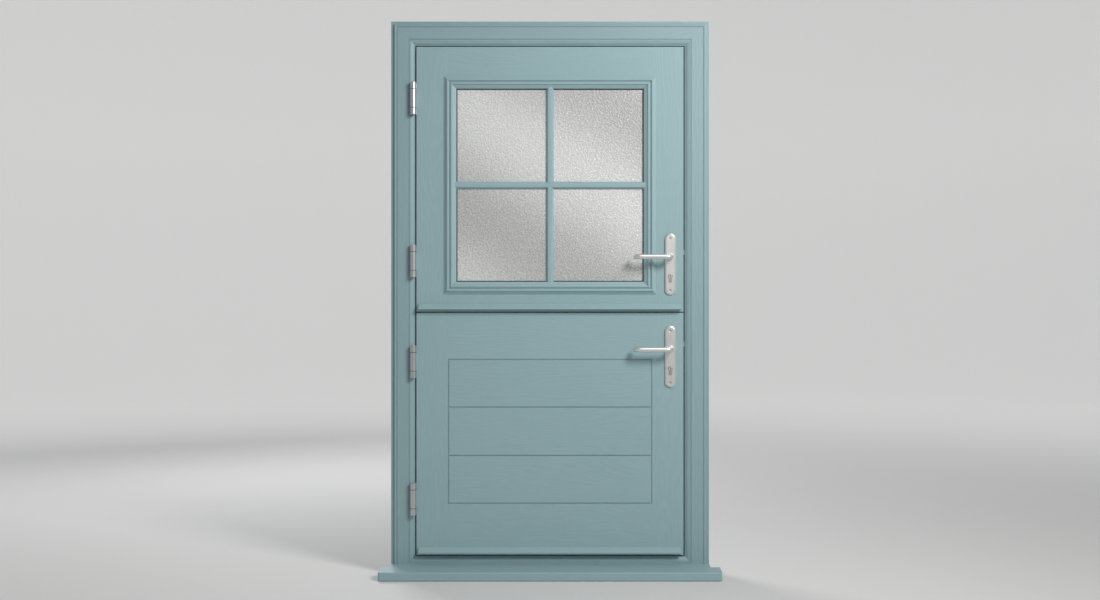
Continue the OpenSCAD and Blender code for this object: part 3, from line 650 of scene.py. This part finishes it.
def girth(section: np.ndarray) -> np.ndarray:
    """The distance round a section to each of its points."""
    steps = np.linalg.norm(np.diff(section, axis=0), axis=1)
    return np.concatenate([[0.0], np.cumsum(steps)])


def box_mm(node: str) -> tuple[np.ndarray, np.ndarray]:
    """The low and the high corner of a node's box, in mm."""
    low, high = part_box(node)
    return np.array(low) / MM, np.array(high) / MM


# ---------- dressing the CAD nodes ----------


class Dresser:
    """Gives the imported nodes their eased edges, smooth shading and finish. Bends are in degrees."""

    weld_within: ClassVar[float] = 1e-5
    flat_below: ClassVar[float] = 0.6
    eased_above: ClassVar[float] = 30.0
    crisp_above: ClassVar[float] = 34.0
    weight: ClassVar[int] = 100

    def __init__(self, nodes: dict[str, bpy.types.Object]) -> None:
        """Keeps the nodes by name and makes the shading group that they share."""
        self.nodes = nodes
        self.group = self._shading_group(math.radians(self.crisp_above))

    @staticmethod
    def _shading_group(angle: float) -> bpy.types.NodeTree:
        """A modifier group that shades every face smooth and keeps the sharper edges crisp.

        Args:
            angle: the bend above which an edge is kept, in radians.

        Returns:
            The group.
        """
        group = bpy.data.node_groups.new("eased_shading", "GeometryNodeTree")
        group.interface.new_socket("Geometry", in_out="INPUT", socket_type="NodeSocketGeometry")
        group.interface.new_socket("Geometry", in_out="OUTPUT", socket_type="NodeSocketGeometry")
        start, end = group.nodes.new("NodeGroupInput"), group.nodes.new("NodeGroupOutput")
        faces, edges = (group.nodes.new("GeometryNodeSetShadeSmooth") for _ in range(2))
        faces.domain, edges.domain = "FACE", "EDGE"
        bend = group.nodes.new("GeometryNodeInputMeshEdgeAngle")
        sharp = group.nodes.new("FunctionNodeCompare")
        sharp.data_type, sharp.operation = "FLOAT", "GREATER_THAN"
        sharp.inputs[1].default_value = angle
        edges.inputs["Shade Smooth"].default_value = False
        group.links.new(start.outputs[0], faces.inputs["Geometry"])
        group.links.new(faces.outputs[0], edges.inputs["Geometry"])
        group.links.new(bend.outputs["Unsigned Angle"], sharp.inputs[0])
        group.links.new(sharp.outputs[0], edges.inputs["Selection"])
        group.links.new(edges.outputs[0], end.inputs[0])
        return group

    def dress(self, names: list[str], material: bpy.types.Material, ease: float, segments: int = 2,
              whole_faces: bool = False) -> None:
        """Finishes some nodes.

        Args:
            names: the nodes.
            material: their finish.
            ease: how far each sharp edge is rounded, in metres; nought leaves it.
            segments: how many strips round each edge.
            whole_faces: joins the triangles of each flat face first, for faces with holes close together.
        """
        for name in names:
            thing = self.nodes[name]
            thing.data.materials.clear()
            thing.data.materials.append(material)
            weld = thing.modifiers.new("weld", "WELD")
            weld.merge_threshold = self.weld_within
            if whole_faces:
                join = thing.modifiers.new("whole_faces", "DECIMATE")
                join.decimate_type = "DISSOLVE"
                join.angle_limit = math.radians(self.flat_below)
            if ease > 0:
                bevel = thing.modifiers.new("eased_edges", "BEVEL")
                bevel.width = ease
                bevel.segments = segments
                bevel.limit_method = "ANGLE"
                bevel.angle_limit = math.radians(self.eased_above)
            shading = thing.modifiers.new("shading", "NODES")
            shading.node_group = self.group
            flatness = thing.modifiers.new("flat_faces", "WEIGHTED_NORMAL")
            flatness.keep_sharp = True
            flatness.weight = self.weight
        log.info("dressed %d nodes with %s", len(names), material.name)


@dataclass
class Joinery:
    """The timber of the frame and both leaves: every piece keeps its own board and grain."""

    arris: float = 0.0012
    seam: float = 0.0018
    joint: float = 0.00035
    mitre: float = 0.0007
    frame_painted_shade: float = 0.91
    upright: tuple[str, ...] = (
        "frame_hinge_jamb", "frame_lock_jamb", "upper_hinge_stile", "upper_lock_stile",
        "lower_hinge_stile", "lower_lock_stile")
    across: tuple[str, ...] = (
        "frame_head", "frame_bottom_rail", "cill", "upper_top_rail", "upper_meeting_rail",
        "upper_weather_bar", "lower_meeting_rail", "lower_bottom_rail", "lower_top_board",
        "lower_middle_board", "lower_bottom_board", "lower_weather_bar")

    def build(self, dresser: Dresser) -> None:
        """Dresses each board with a paint that has its own grain.

        Framed joints are planed flush and filled, so their edges are barely eased; mitres show a fine
        line, and loose edges have a sanded arris. The frame's paint is a little darker than the leaves':
        painted shade, standing in for the shadow that a wall's reveal casts on the frame.

        Args:
            dresser: what dresses the nodes.
        """
        for grain, names in ((Grain.UPRIGHT, self.upright), (Grain.ACROSS, self.across)):
            for board, name in enumerate(names):
                paint = PaintedTimber(grain, board)
                if name.startswith("frame"):
                    ease = self.mitre
                    # painted shade: the frame's paint is darkened for the shadow of the wall's reveal
                    paint = PaintedTimber(grain, board, tint(paint.colour, self.frame_painted_shade))
                elif name.endswith(("stile", "rail")):
                    ease = self.joint
                elif name.endswith("board"):
                    ease = self.seam
                else:
                    ease = self.arris
                dresser.dress([name], paint.material(), ease, 3)


@dataclass
class Seals:
    """Rubber seals in the frame's stops and along the meeting edge."""

    ease: float = 0.0006
    nodes: tuple[str, ...] = ("frame_seal", "meeting_seal")

    def build(self, dresser: Dresser) -> None:
        """Dresses the seals in rubber."""
        dresser.dress(list(self.nodes), RubberSeal().material(), self.ease)


@dataclass
class Hinges:
    """Four butt hinges with their pins and screws."""

    ease: float = 0.0007
    nodes: tuple[str, ...] = ("frame_hinge_plates", "upper_hinge_plates", "lower_hinge_plates", "hinge_pins")
    screws: tuple[str, ...] = ("frame_screws", "upper_leaf_screws", "lower_leaf_screws")

    def build(self, dresser: Dresser) -> None:
        """Dresses plates and pins in brushed steel, and the small screws without an eased edge."""
        dull = HingeSteel().material()
        dresser.dress(list(self.nodes), dull, self.ease, 3, True)
        dresser.dress(list(self.screws), dull, 0.0)


@dataclass
class LockGear:
    """Locks, strikes and handle plates of both leaves."""

    plate_ease: float = 0.0009
    small_ease: float = 0.0004
    leaves: tuple[str, ...] = ("upper", "lower")
    plates: tuple[str, ...] = ("outer_plate", "inner_plate")
    steel: tuple[str, ...] = ("latch", "deadbolt", "spindle")
    nickel: tuple[str, ...] = ("cylinder", "plate_bolts")
    cast: tuple[str, ...] = ("lock_case", "follower")

    def build(self, dresser: Dresser) -> None:
        """Dresses the plates, the working parts and the strikes.

        Args:
            dresser: what dresses the nodes.
        """
        upright, across = SatinSteel(Grain.UPRIGHT).material(), SatinSteel(Grain.ACROSS).material()
        nickel = SatinSteel(Grain.ACROSS, "dull_nickel", (0.60, 0.59, 0.57), 0.34).material()
        plug = SatinSteel(Grain.UPRIGHT, "plug_metal", (0.84, 0.82, 0.78), 0.34).material()
        for leaf in self.leaves:
            dresser.dress([f"{leaf}_{part}" for part in self.plates], upright, self.plate_ease, 3, True)
            for parts, metal in ((self.steel, across), (self.nickel, nickel), (("key_plug",), plug)):
                dresser.dress([f"{leaf}_{part}" for part in parts], metal, self.small_ease, 2, True)
            dresser.dress([f"{leaf}_{part}" for part in self.cast], PlatedZinc().material(), self.small_ease)
        dresser.dress(["strike_plates"], upright, self.small_ease, 2, True)


# ---------- the glazed light ----------


class Side(Enum):
    """Which face of the leaf a piece is on, as the way its front looks along y."""

    OUTER = -1
    INNER = 1


@dataclass
class GlazedLight:
    """The upper leaf's glazing: moulded frames, crossed bars, gaskets, panes and spacer. Sizes are in mm."""

    leaf: str = "upper_leaf"
    crown_radius: float = 5.5
    crown_from_edge: float = 13.5
    bead_radius: float = 5.5
    bead_in: float = 18.5
    bead_below_crown: float = 1.5
    bead_springs: float = 5.0
    quirk_height: float = 4.9
    leg_from_edge: float = 15.0
    pane_rebate: float = 11.5
    frame_ease: float = 0.55
    bar_width: float = 27.0
    bar_flat: float = 15.0
    bar_face: float = 1.5
    bevel_run: float = 13.0
    bevel_fall: float = 7.0
    bevel_foot: float = 2.0
    bars_short: float = 0.2
    bar_bite: float = 0.1
    gasket_width: float = 3.6
    gasket_height: float = 1.6
    arc_steps: int = 13

    def build(self, dresser: Dresser) -> None:
        """Builds both faces and dresses the panes and the spacer between them.

        Args:
            dresser: what dresses the nodes.
        """
        for side in Side:
            word = side.name.lower()
            self._measure(side, f"{word}_glazing_frame", f"{word}_pane")
            for surface, label, node, board in (
                    (self._ring(self._section(), self.frame_ease), "glazing_mouldings", "glazing_frame", 1),
                    (self._bars(), "crossed_bars", "glazing_bars", 2)):
                self._finish(surface, f"{word}_{label}", f"{word}_{node}",
                             PaintedTimber(Grain.ALONG_RUN, board).material())
            self._finish(self._gasket(), f"{word}_glass_gasket", None, RubberSeal().material())
        dresser.dress(["outer_pane", "inner_pane"], ObscureGlass().material(), 0.0)
        dresser.dress(["spacer_bar"], SpacerMetal().material(), 0.0)
        log.info("built the glazed light")

    def _measure(self, side: Side, frame_node: str, pane: str) -> None:
        """Reads where the glazing frame and its pane stand, in mm, and which way they face.

        Args:
            side: the face of the leaf.
            frame_node: the glazing frame's node.
            pane: the pane's node.
        """
        near, far = (0, 1) if side is Side.OUTER else (1, 0)
        moulding = box_mm(frame_node)
        self.way = side.value
        self.leaf_y = box_mm("upper_top_rail")[near][1]
        self.height = abs(moulding[near][1] - self.leaf_y)
        self.leg = abs(moulding[far][1] - self.leaf_y)
        self.seat = abs(box_mm(pane)[near][1] - self.leaf_y)
        self.middle = (moulding[0] + moulding[1])[[0, 2]] / 2
        self.width = (moulding[1][0] - moulding[0][0]) / 2 - self._sight_half()[0]

    def _sight_half(self) -> np.ndarray:
        """Half the glass seen: half the bars' box, less how far they run up the moulded frame's bevel.

        Returns:
            Half the width and half the height, in mm.
        """
        low, high = box_mm("outer_glazing_bars")
        over = (self.bevel_foot + self.bar_face) * self.bevel_run / self.bevel_fall - self.bars_short
        return (high - low)[[0, 2]] / 2 - over

    def _strip(self, run: np.ndarray, across: np.ndarray, depth: np.ndarray, ahead: np.ndarray,
               aside: np.ndarray, section: np.ndarray, grain: tuple[float, float]) -> Surface:
        """Skins one straight strip of moulding.

        Args:
            run: how far along each point lies, by station and by place round the section.
            across: how far to the side each lies.
            depth: how far each lies behind the leaf's face.
            ahead: the way along, in x and z.
            aside: the way to the side.
            section: the section.
            grain: where the strip's grain starts, along and across.

        Returns:
            The closed strip.
        """
        flat = self.middle + run[..., None] * ahead + across[..., None] * aside
        rings = np.stack([flat[..., 0], self.leaf_y - self.way * depth, flat[..., 1]], axis=-1) * MM
        around = np.broadcast_to(girth(section) + grain[1], run.shape)
        return Surface.loft(rings, np.stack([run + grain[0], around], axis=-1) * MM)

    def _section(self) -> np.ndarray:
        """The glazing frame's section: distance out from the sight line, and depth behind the leaf's face.

        From the glass it rises on a bevel to a round bead, dips to a quirk, rises over a larger round
        crown and falls on a bevel to the leaf; its leg goes down inside the opening.

        Returns:
            The closed section, one row to a point.
        """
        seat, leg, edge = self.seat, self.leg, self.width
        crown = (edge - self.crown_from_edge, self.crown_radius - self.height)
        bead = (self.bead_in, self.crown_radius - self.height + self.bead_below_crown)
        lift = math.degrees(math.asin((-self.bead_springs - bead[1]) / self.bead_radius))
        return np.concatenate([
            [[0.0, seat], [0.0, 2.6], [0.25, 2.0], [0.8, 1.5]],
            arc(bead, self.bead_radius, 180.0 - lift, 360.0 + lift, self.arc_steps),
            [[crown[0] - self.crown_radius + 0.02, -self.quirk_height]],
            arc(crown, self.crown_radius, 180.0, 360.0, self.arc_steps + 6),
            [[edge - 0.9, -2.5], [edge - 0.2, -2.0], [edge, -1.4], [edge, 0.0],
             [edge - self.leg_from_edge, 0.0], [edge - self.leg_from_edge, leg],
             [self.pane_rebate, leg], [self.pane_rebate, seat]]])

    def _sides(self) -> list[tuple[np.ndarray, np.ndarray, float, float]]:
        """The four sides of the sight line, in x and z.

        Returns:
            For each side the way along it, the way out from it, half its length and half the span.
        """
        hw, hh = self._sight_half()
        return [(np.array([0.0, 1.0]), np.array([1.0, 0.0]), hh, hw),
                (np.array([0.0, 1.0]), np.array([-1.0, 0.0]), hh, hw),
                (np.array([1.0, 0.0]), np.array([0.0, 1.0]), hw, hh),
                (np.array([1.0, 0.0]), np.array([0.0, -1.0]), hw, hh)]

    def _ring(self, section: np.ndarray, ease: float) -> Surface:
        """Carries a section round the sight line with mitred corners.

        A point at distance u out lies at plus and minus (half length + u) along its side, which makes
        the mitre; the last half millimetre is drawn in, so that a fine groove shows at the corners.

        Args:
            section: distance out and depth.
            ease: how far the ends are drawn in.

        Returns:
            Four shells in one surface.
        """
        thin = shrunk(section, ease)
        parts = []
        for number, (along, out, half_length, half_span) in enumerate(self._sides()):
            ends = [(-1.0, 0.02, thin), (-1.0, ease, section), (1.0, ease, section), (1.0, 0.02, thin)]
            run = np.stack([s * (half_length + sec[:, 0] - inset) for s, inset, sec in ends])
            reach = np.stack([half_span + sec[:, 0] for _, _, sec in ends])
            depth = np.stack([sec[:, 1] for _, _, sec in ends])
            parts.append(self._strip(run, reach, depth, along, out, section,
                                     (900.0 * number, 400.0 * number)))
        return Surface.joined(parts)

    def _gasket(self) -> Surface:
        """The black lip between the moulded frame and the glass: a low half-round strip.

        Returns:
            Four mitred strips in one surface.
        """
        half, h = self.gasket_width / 2, self.gasket_height
        angle = np.linspace(0.0, math.pi, 9)
        out = -half - 0.06 - half * np.cos(angle)
        depth = self.seat - 0.02 - h * np.sin(angle) ** 0.7
        return self._ring(np.stack([out, depth], axis=-1), 0.05)

    def _bars(self) -> Surface:
        """The crossed glazing bars as four arms.

        An arm is a flat face with a chamfer each side. Its inner end lies as far along as it is across,
        which makes a cross of mitres; its outer end follows the moulded frame's bevel.

        Returns:
            Four shells in one surface.
        """
        seat, face = self.seat, -self.bar_face
        half, flat = self.bar_width / 2, self.bar_flat / 2
        slope = self.bevel_run / self.bevel_fall
        side = np.array([[half, seat], [half, seat - 3.6], [half - 0.25, seat - 4.3],
                         [flat + 0.55, face + 0.68], [flat + 0.1, face + 0.2], [flat - 0.6, face]])
        section = np.concatenate([[[0.0, seat]], side, [[0.0, face]], (side * [-1.0, 1.0])[::-1]])
        thin = shrunk(section, self.frame_ease)
        parts = []
        for number, (along, out, _, reach) in enumerate(self._sides()):
            shells = [(True, thin, 0.02), (True, section, self.frame_ease), (False, section, 0.0)]
            run = np.stack([
                np.abs(sec[:, 0]) + inset if inner else
                reach - self.bar_bite + np.clip(self.bevel_foot - sec[:, 1], 0.0, None) * slope
                for inner, sec, inset in shells])
            across = np.stack([sec[:, 0] for _, sec, _ in shells])
            depth = np.stack([sec[:, 1] for _, sec, _ in shells])
            parts.append(self._strip(run, across, depth, out, along, section,
                                     (700.0 * number, 300.0 * number)))
        return Surface.joined(parts)

    def _finish(self, surface: Surface, name: str, node: str | None, material: bpy.types.Material) -> None:
        """Makes a piece that rides on the leaf.

        Args:
            surface: its shape.
            name: its name.
            node: the node that it stands for, if any.
            material: its finish.
        """
        piece = surface.piece(name, material)
        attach(piece, self.leaf)
        if node:
            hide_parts(node)


# ---------- lever handles ----------


@dataclass
class LeverHandle:
    """A return-to-door lever with its collar. Sizes are in mm."""

    bar_radius: float = 10.0
    flatness: float = 0.90
    bend: float = 16.0
    journal_radius: float = 8.0
    collar_radius: float = 11.6
    collar_height: float = 3.0
    neck_radius: float = 8.6
    return_length: float = 8.0
    plate_and_boss: float = 11.3
    around: int = 56
    crisp_above: float = 40.0
    turn_steps: int = 15
    bar_steps: int = 8
    dome_steps: int = 9
    dome_length: float = 2.6
    dome_power: float = 2.6
    leaves: tuple[str, ...] = ("upper", "lower")

    def build(self) -> None:
        """Builds the four levers."""
        for leaf in self.leaves:
            for side in Side:
                node = f"{leaf}_{side.name.lower()}_lever"
                steel = SatinSteel(Grain.ACROSS).material()
                piece = self._surface(node, side).piece(f"{node}_handle", steel, self.crisp_above)
                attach(piece, f"{leaf}_lever_set")
                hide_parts(node)
                log.info("built %s", piece.name)

    def _path(self, reach: float, rise: float, start: float) -> tuple[np.ndarray, ...]:
        """The lever's centreline from inside the plate to its returned end.

        It leaves the plate square, turns along the leaf and turns back. Radii swell from the neck to
        the bar, and the end closes as a dome.

        Args:
            reach: from the axis to the middle of the returned end.
            rise: from the journal's start to the bar's middle.
            start: from the journal's start to the top of the plate's boss.

        Returns:
            Points (along the leaf, out from it), unit directions, radii, and the depth as a share of the
            height, one row to a station.
        """
        quarter = np.radians(np.linspace(0.0, 90.0, self.turn_steps))
        b = self.bend
        top = start + self.collar_height
        out = [0.0, start, start, start + 0.35, top - 0.6, top, top, top + 2.0]
        radii = [self.journal_radius, self.journal_radius, self.collar_radius - 0.5, self.collar_radius,
                 self.collar_radius, self.collar_radius - 0.7, self.neck_radius + 0.7, self.neck_radius]
        stem = np.stack([np.zeros(len(out)), np.array(out)], axis=-1)
        first = np.stack([b - b * np.cos(quarter), rise - b + b * np.sin(quarter)], axis=-1)
        bar = np.stack([np.linspace(b, reach - b, self.bar_steps + 2)[1:-1],
                        np.full(self.bar_steps, rise)], axis=-1)
        second = np.stack([reach - b + b * np.sin(quarter), rise - b + b * np.cos(quarter)], axis=-1)
        t = np.linspace(0.0, 1.0, self.dome_steps)
        end = rise - b - self.return_length + self.dome_length
        dome = np.stack([np.full(self.dome_steps, reach), end - self.dome_length * t], axis=-1)
        line = np.concatenate([stem, first, bar, second, dome])
        heading = np.concatenate([
            np.tile([0.0, 1.0], (len(stem), 1)), np.stack([np.sin(quarter), np.cos(quarter)], axis=-1),
            np.tile([1.0, 0.0], (len(bar), 1)), np.stack([np.cos(quarter), -np.sin(quarter)], axis=-1),
            np.tile([0.0, -1.0], (len(dome), 1))])
        swell = np.linspace(self.neck_radius, self.bar_radius, self.turn_steps)
        closing = self.bar_radius * (1.0 - (t * 0.985) ** self.dome_power) ** (1 / self.dome_power)
        plain = self.bar_steps + self.turn_steps
        radius = np.concatenate([radii, swell, np.full(plain, self.bar_radius), closing])
        oval = np.concatenate([np.ones(len(stem)), np.linspace(1.0, self.flatness, self.turn_steps),
                               np.full(plain + self.dome_steps, self.flatness)])
        return line, heading, radius, oval

    def _surface(self, node: str, side: Side) -> Surface:
        """Carries a ring along the centreline, round in the stem and a little flatter in the bar.

        Args:
            node: the CAD lever whose box gives the sizes.
            side: the face of the leaf.

        Returns:
            The lever's closed shell.
        """
        low, high = box_mm(node)
        axis_x = high[0] - self.bar_radius
        axis_z = (low[2] + high[2]) / 2
        root_y = high[1] if side is Side.OUTER else low[1]
        bar_y = low[1] + self.bar_radius if side is Side.OUTER else high[1] - self.bar_radius
        reach = axis_x - low[0] - self.bar_radius
        rise = abs(bar_y - root_y)
        line, heading, radius, oval = self._path(reach, rise, self.plate_and_boss - 0.5)
        turn = np.linspace(0.0, 2 * math.pi, self.around, endpoint=False)
        sideways = (radius * oval)[:, None] * np.cos(turn)
        upward = radius[:, None] * np.sin(turn)
        square = np.stack([-heading[:, 1], heading[:, 0]], axis=-1)
        flat = line[:, None, :] + sideways[..., None] * square[:, None, :]
        rings = np.stack([axis_x - flat[..., 0], root_y + side.value * flat[..., 1],
                          axis_z + upward], axis=-1) * MM
        distance = girth(line)[:, None] * np.ones(self.around)
        uv = np.stack([distance, radius[:, None] * turn], axis=-1) * MM
        return Surface.loft(rings, uv)


# ---------- studio ----------


@dataclass(frozen=True)
class Lamp:
    """A soft square light: where it hangs and points, its side, watts, beam in degrees and tint."""

    name: str
    place: tuple[float, float, float]
    size: float
    power: float
    spread: float
    colour: tuple[float, float, float]
    aim: tuple[float, float, float] = (0.0, 0.0, 1.1)

    def hang(self) -> None:
        """Hangs the light, turned about z and then tipped so that it faces its aim."""
        lamp = bpy.data.lights.new(self.name, "AREA")
        lamp.shape = "SQUARE"
        lamp.size = self.size
        lamp.energy = self.power
        lamp.color = self.colour
        lamp.spread = math.radians(self.spread)
        thing = bpy.data.objects.new(self.name, lamp)
        bpy.context.scene.collection.objects.link(thing)
        thing.location = self.place
        away = np.array(self.aim) - np.array(self.place)
        yaw = math.atan2(away[1], away[0]) - math.pi / 2
        pitch = math.atan2(math.hypot(away[0], away[1]), -away[2])
        thing.rotation_euler = (pitch, 0.0, yaw)
        thing.visible_camera = False


@dataclass
class Studio:
    """A round pale ground that curves up all the way round, soft lights and the camera. Metres."""

    ground_radius: float = 9.0
    sweep: float = 3.0
    wall_height: float = 7.0
    camera_distance: float = 5.0
    camera_height: float = 1.030
    lens: float = 43.636
    world: tuple[float, float, float] = (0.30, 0.304, 0.308)
    around: int = 128
    lamps: tuple[Lamp, ...] = (
        Lamp("key", (1.9, -2.4, 2.9), size=1.1, power=39.0, spread=120.0, colour=(1.0, 0.985, 0.965)),
        Lamp("back", (-1.8, 3.2, 2.9), size=1.6, power=70.0, spread=180.0, colour=(1.0, 1.0, 1.0)))

    def build(self) -> None:
        """Builds the ground, the lights and the camera."""
        self._ground()
        self._world()
        for lamp in self.lamps:
            lamp.hang()
        self._camera()
        bpy.context.scene.view_settings.view_transform = "Standard"
        log.info("built the studio")

    def _ground(self) -> None:
        """Turns one profile about the upright axis: flat, then a quarter circle, then a wall."""
        quarter = np.radians(np.linspace(0.0, 90.0, 17))
        r, s = self.ground_radius, self.sweep
        radius = np.concatenate([[0.0, 2.0, 4.0, 6.0], r + s * np.sin(quarter), [r + s]])
        height = np.concatenate([np.zeros(4), s - s * np.cos(quarter), [self.wall_height]])
        turn = np.linspace(0.0, 2 * math.pi, self.around, endpoint=False)
        grid = np.stack([radius[:, None] * np.cos(turn), radius[:, None] * np.sin(turn),
                         height[:, None] * np.ones(self.around)], axis=-1)
        n, m = grid.shape[:2]
        quads = belts(1, n - 1, m)[:, ::-1]
        points = grid.reshape(-1, 3)
        mesh = bpy.data.meshes.new("studio_ground")
        mesh.from_pydata(points.tolist(), [], quads.tolist() + [list(range(m, 2 * m))])
        mesh.shade_smooth()
        mesh.materials.append(StudioPaper().material())
        ground = bpy.data.objects.new("studio_ground", mesh)
        bpy.context.scene.collection.objects.link(ground)

    def _world(self) -> None:
        """An even pale sky."""
        world = bpy.data.worlds.new("studio_sky")
        world.use_nodes = True
        background = world.node_tree.nodes["Background"]
        background.inputs["Color"].default_value = (*self.world, 1.0)
        bpy.context.scene.world = world

    def _camera(self) -> None:
        """A level camera straight in front of the door."""
        lens = bpy.data.cameras.new("camera")
        lens.lens = self.lens
        lens.sensor_width = 36.0
        camera = bpy.data.objects.new("camera", lens)
        bpy.context.scene.collection.objects.link(camera)
        camera.location = (0.0, -self.camera_distance, self.camera_height)
        camera.rotation_euler = (math.pi / 2, 0.0, 0.0)
        bpy.context.scene.camera = camera


def main() -> None:
    """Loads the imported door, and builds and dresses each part."""
    logging.basicConfig(level=logging.INFO, format="%(name)s: %(message)s")
    for thing in list(bpy.data.objects):
        bpy.data.objects.remove(thing)
    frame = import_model()
    Studio().build()
    dresser = Dresser(frame["nodes"])
    Joinery().build(dresser)
    Seals().build(dresser)
    Hinges().build(dresser)
    LockGear().build(dresser)
    GlazedLight().build(dresser)
    LeverHandle().build()
    bpy.context.view_layer.update()
    log.info("sizes written")


if __name__ == "__main__":
    main()
